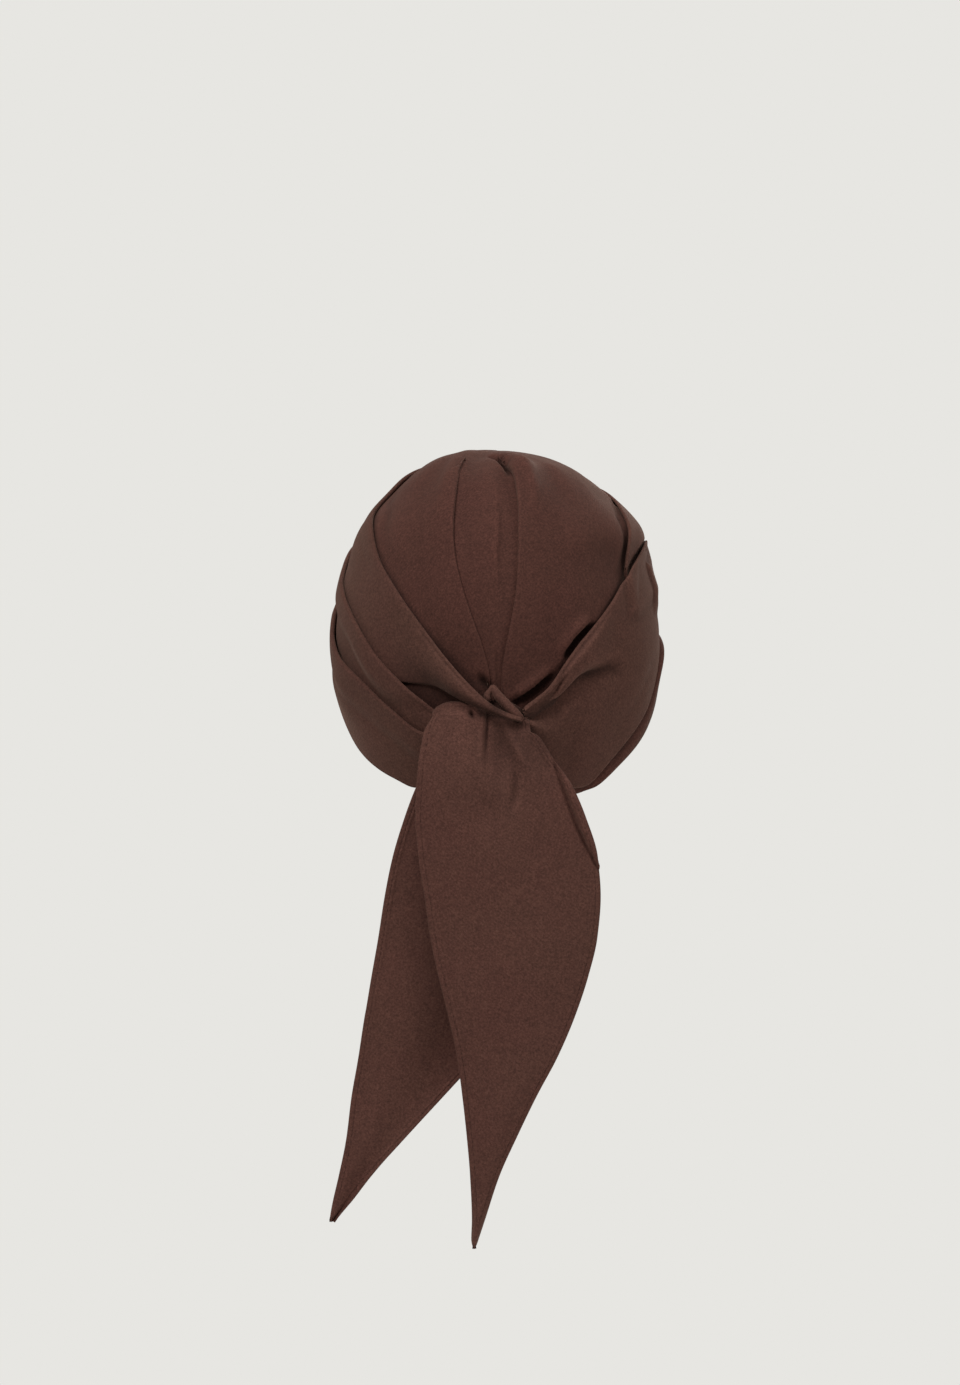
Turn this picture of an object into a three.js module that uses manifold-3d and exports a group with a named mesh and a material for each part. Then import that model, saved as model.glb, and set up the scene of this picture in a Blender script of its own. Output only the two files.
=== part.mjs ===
// Bandana cap: a soft crown, a wrap of three overlapping pleats, a knot at the back and two pointed tails.
// Millimetres, +Z up. The cap's front faces -Y and its back, with the knot, faces +Y.
// The origin is the inside of the crown at its top, where the cap sits on a head.
import * as THREE from 'three';
import { mergeVertices } from 'three/addons/utils/BufferGeometryUtils.js';
import Module from 'manifold-3d';

const wasm = await Module();
wasm.setup();

// Driving sizes of the head hollow
const headHalfWidth = 82;
const headHalfLength = 98;
const crownRise = 100;
const napeDrop = 122;

// Driving sizes of the cloth
const crownCloth = 1.5;
const pleatCloth = 1.4;
const foldThickness = 2.5;
const tailCloth = 1.5;
const layerGap = 0.5;

// Driving sizes of the crown's box pleat
const boxPleatRise = 1.8;
const boxPleatReach = 24;

// Driving sizes of the gathers and the knot
const gatherReach = 25;
const rollBulge = 1.6;
const ridgeHeight = 1.2;
const valleyDepth = 2.6;
const softCreaseShare = 0.5;
const knotHalfWidth = 7;
const knotHalfDepth = 4;
const knotHalfHeight = 7;
const knotStandoff = 6.3;
const tailStandoff = 1;
const knotOffset = 4;
const strandRadius = 2.1;

// Driving sizes of the tails
const frontTailLength = 270;
const frontTailWidth = 90;
const frontTailSwing = 7;
const backTailLength = 243;
const backTailWidth = 103;
const backTailSwing = 3;
const backTailStandoff = 1;
const shoulderRise = 6.1;
const shoulderDrop = 8;
const shoulderRoll = 2.2;
const tailCreaseDepth = 2.4;
const tailCurl = 4;

// The wrap's soft ridges: the stretch round the head, the place and width across the pleat as shares, and
// the rise as a share of ridgeHeight
const middleRidge = { start: 40, end: 110, fade: 15, place: 0.4, width: 0.2, rise: 0.5 };
const lowerLeftRidge = { start: 40, end: 110, fade: 15, place: 0.48, width: 0.2, rise: 0.5 };
const lowerRightRidge = { start: 258, end: 330, fade: 18, place: 0.5, width: 0.35, rise: 1.6 };

// The two rolls that cross the knot, in shares of the knot's half sizes, with the radius as a share of
// strandRadius
const strandPath = [
  { across: 1.35, up: 2.55, out: 0.25, radius: 0.6 },
  { across: 0.95, up: 1.95, out: 0.5, radius: 0.9 },
  { across: 0.45, up: 1.3, out: 1.0, radius: 1.0 },
  { across: -0.05, up: 0.75, out: 1.3, radius: 1.0 },
  { across: -0.35, up: 0.4, out: 1.2, radius: 0.9 },
];
const curlPath = [
  { across: 1.7, up: 2.1, out: 0.3, radius: 0.5 },
  { across: 1.2, up: 1.75, out: 0.4, radius: 0.8 },
  { across: 0.7, up: 1.3, out: 0.6, radius: 0.9 },
  { across: 0.2, up: 0.6, out: 0.8, radius: 0.9 },
];

// Places on the head form are given by two angles. "round" runs from the back over the wearer's left side
// to the front at 180 and on over the right side. "down" runs from the top of the head.
const knotRound = -5;
const knotDown = 108;

// The pleats' folded upper edges and their lower edges, in degrees down the head form
const upperPleatEdges = [
  { round: knotRound - 2, top: knotDown - 1.3, bottom: knotDown - 0.2 },
  { round: knotRound + 2, top: knotDown - 2.4, bottom: knotDown - 0.8 },
  { round: knotRound + 5.5, top: knotDown - 3.6, bottom: knotDown - 1.6 },
  { round: knotRound + 10, top: knotDown - 6.2, bottom: knotDown - 2.6 },
  { round: 11, top: 97.7, bottom: 104.3 },
  { round: 16, top: 94.2, bottom: 103.0 },
  { round: 22, top: 90.0, bottom: 101.3 },
  { round: 28, top: 84.5, bottom: 100.4 },
  { round: 35, top: 78.0, bottom: 101.5 },
  { round: 42, top: 72.1, bottom: 99.5 },
  { round: 50, top: 66.3, bottom: 94.0 },
  { round: 63, top: 55.3, bottom: 84.4 },
  { round: 78, top: 47.0, bottom: 76.5 },
  { round: 86, top: 41.6, bottom: 72.6 },
  { round: 97, top: 32.5, bottom: 68.0 },
  { round: 112, top: 26.6, bottom: 61.0 },
  { round: 145, top: 23.6, bottom: 51.5 },
  { round: 180, top: 25.2, bottom: 49.0 },
  { round: 215, top: 29.0, bottom: 51.0 },
  { round: 255, top: 37.0, bottom: 58.5 },
  { round: 275, top: 43.8, bottom: 63.0 },
  { round: 287, top: 49.2, bottom: 67.0 },
  { round: 295, top: 57.5, bottom: 70.6 },
  { round: 302, top: 68.0, bottom: 75.4 },
];
const middlePleatEdges = [
  { round: knotRound + 17, top: knotDown + 0.2, bottom: knotDown + 3.6 },
  { round: knotRound + 21, top: knotDown - 0.4, bottom: knotDown + 5.4 },
  { round: 22, top: 106.4, bottom: 114.8 },
  { round: 27, top: 103.6, bottom: 115.2 },
  { round: 37, top: 98.0, bottom: 111.0 },
  { round: 46, top: 92.6, bottom: 106.8 },
  { round: 56, top: 84.9, bottom: 102.2 },
  { round: 71, top: 75.6, bottom: 96.0 },
  { round: 87, top: 68.2, bottom: 85.4 },
  { round: 104, top: 60.2, bottom: 78.8 },
  { round: 145, top: 47.5, bottom: 70.4 },
  { round: 180, top: 45.0, bottom: 69.0 },
  { round: 215, top: 47.0, bottom: 69.0 },
  { round: 255, top: 54.5, bottom: 68.2 },
  { round: 275, top: 59.0, bottom: 68.0 },
  { round: 287, top: 63.0, bottom: 70.0 },
  { round: 296, top: 66.9, bottom: 72.6 },
  { round: 304, top: 71.6, bottom: 76.4 },
];
const lowerPleatEdges = [
  { round: knotRound + 17, top: knotDown + 4.0, bottom: knotDown + 8.4 },
  { round: knotRound + 21, top: knotDown + 4.0, bottom: knotDown + 11.2 },
  { round: 27, top: 111.3, bottom: 125.0 },
  { round: 38, top: 106.5, bottom: 126.8 },
  { round: 47, top: 102.2, bottom: 124.5 },
  { round: 57, top: 97.6, bottom: 121.7 },
  { round: 72, top: 91.6, bottom: 116.4 },
  { round: 83, top: 86.0, bottom: 110.4 },
  { round: 90, top: 80.8, bottom: 106.0 },
  { round: 105, top: 74.6, bottom: 97.0 },
  { round: 145, top: 66.4, bottom: 84.6 },
  { round: 180, top: 65.0, bottom: 82.0 },
  { round: 215, top: 65.0, bottom: 84.6 },
  { round: 255, top: 64.2, bottom: 94.0 },
  { round: 277, top: 64.0, bottom: 101.4 },
  { round: 288, top: 65.6, bottom: 106.0 },
  { round: 300, top: 68.7, bottom: 113.6 },
  { round: 310, top: 74.4, bottom: 120.0 },
  { round: 320, top: 81.9, bottom: 126.4 },
  { round: 330, top: 89.6, bottom: 127.0 },
  { round: 338, top: 95.8, bottom: 123.0 },
  { round: 343, top: 100.6, bottom: 117.0 },
  { round: knotRound + 352.5, top: knotDown - 5.2, bottom: knotDown + 4.4 },
  { round: knotRound + 356.5, top: knotDown - 3.2, bottom: knotDown + 0.4 },
];

// The crown's rim
const crownRim = [
  { round: 0, rim: 129.5 },
  { round: 20, rim: 128.6 },
  { round: 38, rim: 125.4 },
  { round: 57, rim: 120.3 },
  { round: 72, rim: 115.0 },
  { round: 90, rim: 104.6 },
  { round: 105, rim: 95.6 },
  { round: 145, rim: 83.2 },
  { round: 180, rim: 80.8 },
  { round: 215, rim: 83.2 },
  { round: 255, rim: 94.6 },
  { round: 273, rim: 103.2 },
  { round: 288, rim: 112.8 },
  { round: 303, rim: 120.3 },
  { round: 316, rim: 126.5 },
  { round: 330, rim: 129.6 },
  { round: 360, rim: 129.5 },
];

// The two folds of the crown's box pleat, as "round" angles at each "down" angle
const boxPleatFolds = [
  { down: 16, left: 34.0, right: -4.0 },
  { down: 30, left: 25.8, right: -8.8 },
  { down: 45, left: 20.7, right: -9.5 },
  { down: 60, left: 17.4, right: -8.1 },
  { down: 74, left: 12.8, right: -6.7 },
  { down: 84, left: 8.6, right: -4.6 },
  { down: 97, left: 3.4, right: -2.2 },
  { down: 130, left: 2.0, right: -2.0 },
];

// The deep fold that runs in the lower pleat from the knot, and the soft crease further round
const deepFold = [
  { round: 323, down: 96.6 },
  { round: 331, down: 98.3 },
  { round: 336, down: 101.0 },
  { round: 340, down: 103.7 },
  { round: knotRound + 352, down: knotDown - 1.7 },
  { round: knotRound + 357, down: knotDown - 1.2 },
];
const softCrease = [
  { round: 273, down: 86.0 },
  { round: 281, down: 91.6 },
  { round: 292, down: 97.2 },
  { round: 301, down: 105.2 },
  { round: 309, down: 111.0 },
];

// The tails' outlines. "drop" is a share of the length. "left" and "right" are shares of the width, from the
// knot.
const frontTailOutline = [
  { drop: 0.00, left: 0.39, right: -0.10 },
  { drop: 0.03, left: 0.47, right: -0.11 },
  { drop: 0.10, left: 0.52, right: -0.24 },
  { drop: 0.15, left: 0.53, right: -0.34 },
  { drop: 0.21, left: 0.535, right: -0.41 },
  { drop: 0.28, left: 0.52, right: -0.48 },
  { drop: 0.36, left: 0.485, right: -0.495 },
  { drop: 0.50, left: 0.41, right: -0.415 },
  { drop: 0.65, left: 0.305, right: -0.24 },
  { drop: 0.80, left: 0.25, right: -0.015 },
  { drop: 0.95, left: 0.222, right: 0.146 },
  { drop: 1.00, left: 0.213, right: 0.198 },
];
const backTailOutline = [
  { drop: 0.00, left: 0.32, right: -0.06 },
  { drop: 0.05, left: 0.40, right: -0.08 },
  { drop: 0.10, left: 0.46, right: -0.09 },
  { drop: 0.17, left: 0.525, right: -0.10 },
  { drop: 0.25, left: 0.58, right: -0.11 },
  { drop: 0.42, left: 0.65, right: -0.115 },
  { drop: 0.54, left: 0.70, right: -0.105 },
  { drop: 0.585, left: 0.72, right: -0.045 },
  { drop: 0.75, left: 0.78, right: 0.34 },
  { drop: 0.92, left: 0.855, right: 0.705 },
  { drop: 1.00, left: 0.885, right: 0.87 },
];

// The front tail's top edge: its dip below the shoulder across the tail, as a share of shoulderDrop
const shoulderEdge = [
  { across: 0.00, dip: 0.35 },
  { across: 0.20, dip: 0.00 },
  { across: 0.42, dip: 0.00 },
  { across: 0.50, dip: 0.45 },
  { across: 0.60, dip: 0.47 },
  { across: 0.80, dip: 0.75 },
  { across: 1.00, dip: 1.00 },
];
const shoulderEdgeEnd = 0.06;

// The tails' hang: how far they stand out of the vertical down their length, as shares of their swings
const frontTailHang = [
  { drop: 0.00, out: 0.0 },
  { drop: 0.15, out: 1.0 },
  { drop: 0.30, out: 1.0 },
  { drop: 1.00, out: 0.1 },
];
const backTailHang = [
  { drop: 0.20, out: 0.0 },
  { drop: 0.60, out: -0.5 },
  { drop: 1.00, out: -1.0 },
];

// The front tail's crease below the knot and the curled strip at its right edge, in shares of its size
const tailCrease = { across: 0.5, width: 0.1, start: 0.05, fade: 0.12 };
const curledStrip = { across: 0.78, width: 0.16, drop: 0.24, reach: 0.12 };
const tailBowStart = 0.2;

// Interpolation
const degrees = Math.PI / 180;

function smoothStep(value) {
  const share = Math.min(1, Math.max(0, value));
  return share * share * (3 - 2 * share);
}

// A table's column as a smooth function of another column, without overshoot between its rows.
function column(table, along, name) {
  const places = table.map((row) => row[along]);
  const values = table.map((row) => row[name]);
  const slopes = places.slice(1).map((place, i) => (values[i + 1] - values[i]) / (place - places[i]));
  const tangents = values.map((_, i) => {
    const before = slopes[Math.max(0, i - 1)];
    const after = slopes[Math.min(slopes.length - 1, i)];
    return before * after <= 0 ? 0 : (2 * before * after) / (before + after);
  });
  return (place) => {
    if (place <= places[0]) return values[0];
    if (place >= places[places.length - 1]) return values[values.length - 1];
    const i = places.findIndex((next) => next > place) - 1;
    const span = places[i + 1] - places[i];
    const t = (place - places[i]) / span;
    const start = (1 + 2 * t) * (1 - t) ** 2 * values[i] + t * t * (3 - 2 * t) * values[i + 1];
    return start + t * (1 - t) * span * ((1 - t) * tangents[i] - t * tangents[i + 1]);
  };
}

// The head form: a point at a height over it, along its normal
function formPoint(round, down, height) {
  const low = down > 90 ? napeDrop : crownRise;
  const across = Math.sin(down * degrees);
  const x = across * Math.sin(round * degrees);
  const y = across * Math.cos(round * degrees);
  const z = Math.cos(down * degrees);
  const normal = new THREE.Vector3(x / headHalfWidth, y / headHalfLength, z / low).normalize();
  return new THREE.Vector3(
    headHalfWidth * x + height * normal.x,
    headHalfLength * y + height * normal.y,
    low * z - crownRise + height * normal.z,
  );
}

// A closed cloth wall between an outer and an inner grid of points. Points that fall together are merged.
function clothWall(outer, inner, joinsRound) {
  const positions = [];
  const known = new Map();
  const indexOf = (point) => {
    const key = point.toArray().map((value) => value.toFixed(4)).join(' ');
    if (!known.has(key)) {
      known.set(key, positions.length / 3);
      positions.push(point.x, point.y, point.z);
    }
    return known.get(key);
  };
  const faces = [];
  const triangle = (a, b, c) => {
    const corners = [a, b, c].map(indexOf);
    if (new Set(corners).size === 3) faces.push(...corners);
  };
  const quad = (a, b, c, d) => {
    triangle(a, b, c);
    triangle(a, c, d);
  };
  const rows = outer.length;
  const stations = outer[0].length;
  const next = (j) => (joinsRound ? (j + 1) % stations : j + 1);
  const spans = joinsRound ? stations : stations - 1;
  for (let i = 0; i < rows - 1; i += 1) {
    for (let j = 0; j < spans; j += 1) {
      quad(outer[i][j], outer[i + 1][j], outer[i + 1][next(j)], outer[i][next(j)]);
      quad(inner[i][j], inner[i][next(j)], inner[i + 1][next(j)], inner[i + 1][j]);
    }
  }
  for (let j = 0; j < spans; j += 1) {
    quad(outer[0][j], outer[0][next(j)], inner[0][next(j)], inner[0][j]);
    quad(outer[rows - 1][j], inner[rows - 1][j], inner[rows - 1][next(j)], outer[rows - 1][next(j)]);
  }
  for (let i = 0; i < rows - 1 && !joinsRound; i += 1) {
    const last = stations - 1;
    quad(outer[i][0], inner[i][0], inner[i + 1][0], outer[i + 1][0]);
    quad(outer[i][last], outer[i + 1][last], inner[i + 1][last], inner[i][last]);
  }
  const geometry = new THREE.BufferGeometry();
  geometry.setAttribute('position', new THREE.Float32BufferAttribute(positions, 3));
  geometry.setIndex(faces);
  return facingOut(geometry);
}

// Turns a closed geometry's triangles over when it encloses a negative volume.
function facingOut(geometry) {
  const index = geometry.getIndex();
  const corner = [0, 1, 2].map(() => new THREE.Vector3());
  let volume = 0;
  for (let i = 0; i < index.count; i += 3) {
    corner.forEach((point, k) => point.fromBufferAttribute(geometry.attributes.position, index.getX(i + k)));
    volume += corner[0].dot(corner[1].clone().cross(corner[2]));
  }
  if (volume < 0) {
    for (let i = 0; i < index.count; i += 3) {
      const second = index.getX(i + 1);
      index.setX(i + 1, index.getX(i + 2));
      index.setX(i + 2, second);
    }
  }
  geometry.computeVertexNormals();
  return geometry;
}

// Stations round the head that the crown and the pleats share
function stationsBetween(start, end) {
  const firstStation = -4;
  const bands = [
    { until: 32, step: 3 },
    { until: 98, step: 6 },
    { until: 258, step: 10 },
    { until: 330, step: 6 },
    { until: 360, step: 3 },
  ];
  const clear = 1;
  const stations = [start];
  let round = firstStation;
  while (round < end - clear) {
    if (round > start + clear) stations.push(round);
    const here = round;
    round += bands.find((band) => here < band.until).step;
  }
  stations.push(end);
  return stations;
}

const knotSpan = 7;
const distanceToKnot = (round) => Math.min(Math.abs(round - knotRound), Math.abs(round - 360 - knotRound));
const nearKnot = (round) => smoothStep(1 - distanceToKnot(round) / gatherReach);
const overKnot = (round) => smoothStep(1 - (distanceToKnot(round) - knotSpan) / gatherReach);

// The crown: one dome of cloth whose side panels fold over the centre panel
const crownRimDown = column(crownRim, 'round', 'rim');
const leftFoldRound = column(boxPleatFolds, 'down', 'left');
const rightFoldRound = column(boxPleatFolds, 'down', 'right');
const boxPleatStart = 14;
const boxPleatFull = 28;
const boxPleatFade = 92;
const boxPleatEnd = 100;
const foldLip = 0.2;
const crestShare = 0.25;

function boxPleatHeight(distance, down) {
  const along = smoothStep((down - boxPleatStart) / (boxPleatFull - boxPleatStart))
    * smoothStep((boxPleatEnd - down) / (boxPleatEnd - boxPleatFade));
  const crest = crestShare * boxPleatReach;
  const across = distance < crest
    ? 1 - foldLip + foldLip * smoothStep(distance / crest)
    : smoothStep((boxPleatReach - distance) / (boxPleatReach - crest));
  return boxPleatRise * along * across;
}

function crownGeometry() {
  const rows = 14;
  const panelEdge = 56;
  const foldSlope = 0.8;
  const smallest = 0.1;
  const panelShares = [0.1, 0.22, 0.36, 0.52, 0.68, 0.84];
  const outer = [];
  const inner = [];
  for (let i = 0; i <= rows; i += 1) {
    const share = i / rows;
    const backDown = share * crownRimDown(0);
    const left = leftFoldRound(backDown);
    const right = rightFoldRound(backDown);
    const slope = foldSlope / (headHalfLength * Math.max(smallest, Math.sin(backDown * degrees)) * degrees);
    const raised = (round, fold) => {
      const reach = Math.abs(round - fold) * degrees * headHalfLength * Math.sin(backDown * degrees);
      return boxPleatHeight(reach, backDown);
    };
    const leftRounds = [left + slope, ...panelShares.map((part) => left + part * (panelEdge - left))];
    const rightRounds = [right - slope, ...panelShares.map((part) => right - part * (panelEdge + right))];
    const places = [
      { round: left, rise: 0 },
      ...leftRounds.map((round) => ({ round, rise: raised(round, left) })),
      ...stationsBetween(panelEdge, 360 - panelEdge).map((round) => ({ round, rise: 0 })),
      ...rightRounds.reverse().map((round) => ({ round: round + 360, rise: raised(round, right) })),
      { round: right + 360, rise: 0 },
      { round: (left + right) / 2 + 360, rise: 0 },
    ];
    const rimFor = (round) => crownRimDown(((round % 360) + 360) % 360);
    outer.push(places.map(({ round, rise }) => formPoint(round, share * rimFor(round), crownCloth + rise)));
    inner.push(places.map(({ round }) => formPoint(round, share * rimFor(round), 0)));
  }
  return clothWall(outer, inner, true);
}

// A pleat of the wrap: a strip with a folded, rounded upper edge, lying on the crown and the pleats under it
const layOnCrown = crownCloth + layerGap;
const foldRound = 0.9;
const foldWidth = 2.8;
const foldEnd = 6;
const foldNose = 0.4;
const foldNoseRaise = 0.3;
const edgeMargin = 3;
const edgeRamp = 7;

// A pleat is described by its edges, what lies under it, and its lift and relief over the head form.
function describePleat(edges, under, lift, relief) {
  const top = column(edges, 'round', 'top');
  const bottom = column(edges, 'round', 'bottom');
  const start = edges[0].round;
  const end = edges[edges.length - 1].round;
  const seat = (round, down) => Math.max(layOnCrown, ...under.map((pleat) => pleat.clearHeight(round, down)));
  const shape = (round, down) => {
    const share = (down - top(round)) / (bottom(round) - top(round));
    return lift(round) + relief(round, down, Math.min(1, Math.max(0, share)));
  };
  // The height that a piece lying over this pleat keeps, falling away to the crown past the pleat's edges
  const clearHeight = (round, down) => {
    const inside = Math.min(
      smoothStep((bottom(round) + edgeMargin + edgeRamp - down) / edgeRamp),
      smoothStep((down - top(round) + edgeMargin + edgeRamp) / edgeRamp),
      smoothStep((end + edgeMargin + edgeRamp - round) / edgeRamp),
      smoothStep((round - start + edgeMargin + edgeRamp) / edgeRamp),
    );
    const folded = smoothStep((top(round) + 2 * foldEnd - down) / foldEnd);
    const thickness = pleatCloth + (foldThickness - pleatCloth) * folded;
    const height = seat(round, down) + Math.max(0, shape(round, down)) + thickness + layerGap;
    return layOnCrown + inside * (height - layOnCrown);
  };
  return { top, bottom, start, end, seat, shape, clearHeight };
}

function pleatGeometry({ top, bottom, start, end, seat, shape }, bodyShares) {
  const stations = stationsBetween(start, end);
  const rows = [
    { from: 0, share: 0, thickness: foldNose * foldThickness, raise: foldNoseRaise * foldThickness },
    { from: foldRound, share: 0, thickness: foldThickness, raise: 0 },
    { from: foldWidth, share: 0, thickness: foldThickness, raise: 0 },
    ...bodyShares.map((share) => ({ from: foldEnd, share, thickness: pleatCloth, raise: 0 })),
  ];
  const surface = (height) => rows.map((row) => stations.map((round) => {
    const width = bottom(round) - top(round);
    const begin = row.from * Math.min(1, width / (2 * foldEnd));
    const down = top(round) + begin + row.share * (width - begin);
    return formPoint(round, down, seat(round, down) + shape(round, down) + height(row));
  }));
  return clothWall(surface((row) => row.raise + row.thickness), surface((row) => row.raise), false);
}

// How close a place is to a fold line, from 0 to 1, fading out past the fold's two ends
function alongFold(fold, width, fade) {
  const line = column(fold, 'round', 'down');
  const start = fold[0].round;
  const end = fold[fold.length - 1].round;
  return (round, down) => Math.exp(-(((down - line(round)) / width) ** 2))
    * smoothStep((round - start + fade) / fade) * smoothStep((end + fade - round) / fade);
}

const onDeepFold = alongFold(deepFold, 2.6, 6);
const onSoftCrease = alongFold(softCrease, 3, 6);
const roll = (round, share) => rollBulge * nearKnot(round) * Math.sin(Math.PI * share);
const ridgeOf = ({ start, end, fade, place, width, rise }, round, share) => ridgeHeight * rise
  * Math.exp(-(((share - place) / width) ** 2))
  * smoothStep((round - start) / fade) * smoothStep((end - round) / fade);

// Near the knot the cloth lifts off the head: the lower pleat ends beside the core, and the upper one
// crosses the core and the top of the front tail.
const coreFront = knotStandoff + knotHalfDepth;
const liftBesideCore = coreFront - foldThickness - layOnCrown;
const liftOverTail = coreFront + tailStandoff + tailCloth + 2 * layerGap - layOnCrown;

const upperPleat = describePleat(
  upperPleatEdges,
  [],
  (round) => liftOverTail * overKnot(round),
  (round, down, share) => roll(round, share),
);
const middlePleat = describePleat(
  middlePleatEdges,
  [upperPleat],
  () => 0,
  (round, down, share) => roll(round, share) + ridgeOf(middleRidge, round, share),
);
const lowerPleat = describePleat(
  lowerPleatEdges,
  [upperPleat, middlePleat],
  (round) => (round > 180 ? liftBesideCore * nearKnot(round) : 0),
  (round, down, share) => roll(round, share)
    + ridgeOf(lowerLeftRidge, round, share)
    + ridgeOf(lowerRightRidge, round, share) * (1 - softCreaseShare * onSoftCrease(round, down))
    - valleyDepth * nearKnot(round) * onDeepFold(round, down),
);

// A closed roll of cloth along a curve, with a radius for each point of the curve
function rollGeometry(points, radii, sides, steps) {
  const curve = new THREE.CatmullRomCurve3(points);
  const frames = curve.computeFrenetFrames(steps, false);
  const positions = [];
  const faces = [];
  for (let i = 0; i <= steps; i += 1) {
    const centre = curve.getPoint(i / steps);
    const place = (i / steps) * (radii.length - 1);
    const before = Math.min(radii.length - 2, Math.floor(place));
    const radius = radii[before] + (radii[before + 1] - radii[before]) * (place - before);
    for (let k = 0; k < sides; k += 1) {
      const angle = (k / sides) * 2 * Math.PI;
      const point = centre.clone()
        .addScaledVector(frames.normals[i], radius * Math.cos(angle))
        .addScaledVector(frames.binormals[i], radius * Math.sin(angle));
      positions.push(point.x, point.y, point.z);
    }
  }
  const ring = (i, k) => i * sides + (k % sides);
  for (let k = 0; k < sides; k += 1) {
    for (let i = 0; i < steps; i += 1) {
      faces.push(ring(i, k), ring(i, k + 1), ring(i + 1, k + 1));
      faces.push(ring(i, k), ring(i + 1, k + 1), ring(i + 1, k));
    }
    if (k > 0 && k < sides - 1) {
      faces.push(ring(0, 0), ring(0, k + 1), ring(0, k));
      faces.push(ring(steps, 0), ring(steps, k), ring(steps, k + 1));
    }
  }
  const geometry = new THREE.BufferGeometry();
  geometry.setAttribute('position', new THREE.Float32BufferAttribute(positions, 3));
  geometry.setIndex(faces);
  return facingOut(geometry);
}

function toManifold(geometry) {
  const bare = geometry.clone();
  bare.deleteAttribute('normal');
  if (bare.attributes.uv) bare.deleteAttribute('uv');
  const merged = mergeVertices(bare);
  const vertProperties = new Float32Array(merged.attributes.position.array);
  const triVerts = new Uint32Array(merged.index.array);
  return new wasm.Manifold(new wasm.Mesh({ numProp: 3, vertProperties, triVerts }));
}

function fromManifold(solid) {
  const mesh = solid.getMesh();
  const geometry = new THREE.BufferGeometry();
  geometry.setAttribute('position', new THREE.Float32BufferAttribute(mesh.vertProperties, 3));
  geometry.setIndex(Array.from(mesh.triVerts));
  geometry.computeVertexNormals();
  return geometry;
}

// The knot: a tight core with the rolls of cloth that cross it
const knotCentre = formPoint(knotRound, knotDown, knotStandoff);

function knotGeometry() {
  const core = new THREE.SphereGeometry(1, 14, 10);
  core.scale(knotHalfWidth, knotHalfDepth, knotHalfHeight);
  core.translate(knotCentre.x + knotOffset, knotCentre.y, knotCentre.z);
  const besideCore = ({ across, up, out }) => new THREE.Vector3(
    knotCentre.x + across * knotHalfWidth,
    knotCentre.y + out * knotHalfDepth,
    knotCentre.z + up * knotHalfHeight,
  );
  const rollAlong = (path, steps) => toManifold(
    rollGeometry(path.map(besideCore), path.map(({ radius }) => radius * strandRadius), 8, steps),
  );
  const solid = toManifold(core).add(rollAlong(strandPath, 8)).add(rollAlong(curlPath, 6));
  return fromManifold(solid);
}

// A tail: a hemmed tongue of cloth that hangs from the knot
function tailGeometry(outline, { width, rows, topHeight, depthAt }) {
  const left = column(outline, 'drop', 'left');
  const right = column(outline, 'drop', 'right');
  const columns = [0, 0.06, 0.18, 0.3, 0.42, 0.5, 0.6, 0.72, 0.84, 0.94, 1];
  const surface = (raise) => rows.map((drop) => columns.map((across) => new THREE.Vector3(
    knotCentre.x + width * (left(drop) + across * (right(drop) - left(drop))),
    depthAt(drop, across) + raise,
    topHeight(drop, across),
  )));
  return clothWall(surface(tailCloth / 2), surface(-tailCloth / 2), false);
}

// A bell from 1 at a place to 0 far from it
const bell = (value, place, width) => Math.exp(-(((value - place) / width) ** 2));

function frontTailGeometry() {
  const face = knotCentre.y + knotHalfDepth + tailStandoff + tailCloth / 2;
  const top = knotCentre.z + shoulderRise;
  const dip = column(shoulderEdge, 'across', 'dip');
  const hang = column(frontTailHang, 'drop', 'out');
  const rolledEnd = 0.03;
  const rolledAcross = { from: 0.45, fade: 0.2 };
  return tailGeometry(frontTailOutline, {
    width: frontTailWidth,
    rows: [0, 0.008, 0.025, 0.05, 0.08, 0.12, 0.16, 0.21, 0.27, 0.33, 0.4, 0.5, 0.6, 0.7, 0.8, 0.9, 1],
    topHeight: (drop, across) => top - drop * frontTailLength
      - shoulderDrop * dip(across) * smoothStep(1 - drop / shoulderEdgeEnd),
    depthAt: (drop, across) => {
      const rolled = -shoulderRoll * smoothStep(1 - drop / rolledEnd)
        * smoothStep((rolledAcross.from - across) / rolledAcross.fade);
      const crease = -tailCreaseDepth * bell(across, tailCrease.across, tailCrease.width)
        * smoothStep(1 - (drop - tailCrease.start) / tailCrease.fade) * smoothStep(drop / tailCrease.start);
      const curl = tailCurl * smoothStep((across - curledStrip.across) / curledStrip.width)
        * bell(drop, curledStrip.drop, curledStrip.reach);
      const bow = tailCurl * Math.sin(Math.PI * across) * smoothStep(drop / tailBowStart);
      return face + frontTailSwing * hang(drop) + rolled + crease + curl + bow;
    },
  });
}

function backTailGeometry() {
  const behind = (backTailStandoff - tailCloth / 2) / knotHalfDepth;
  const top = knotCentre.z - knotHalfHeight * Math.sqrt(1 - behind ** 2) - layerGap;
  const hang = column(backTailHang, 'drop', 'out');
  const bowFade = 0.6;
  return tailGeometry(backTailOutline, {
    width: backTailWidth,
    rows: [0, 0.04, 0.09, 0.15, 0.22, 0.3, 0.4, 0.5, 0.54, 0.585, 0.65, 0.75, 0.84, 0.92, 1],
    topHeight: (drop) => top - drop * backTailLength,
    depthAt: (drop, across) => {
      const bow = backTailSwing * Math.sin(2 * Math.PI * across) * smoothStep(drop / tailBowStart)
        * (1 - bowFade * drop);
      return knotCentre.y + backTailStandoff + backTailSwing * hang(drop) + bow;
    },
  });
}

// The cloth's colours, one step apart so that the pieces read
function cloth(colour) {
  return new THREE.MeshStandardMaterial({ color: colour, roughness: 0.92, metalness: 0, flatShading: true });
}

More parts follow.
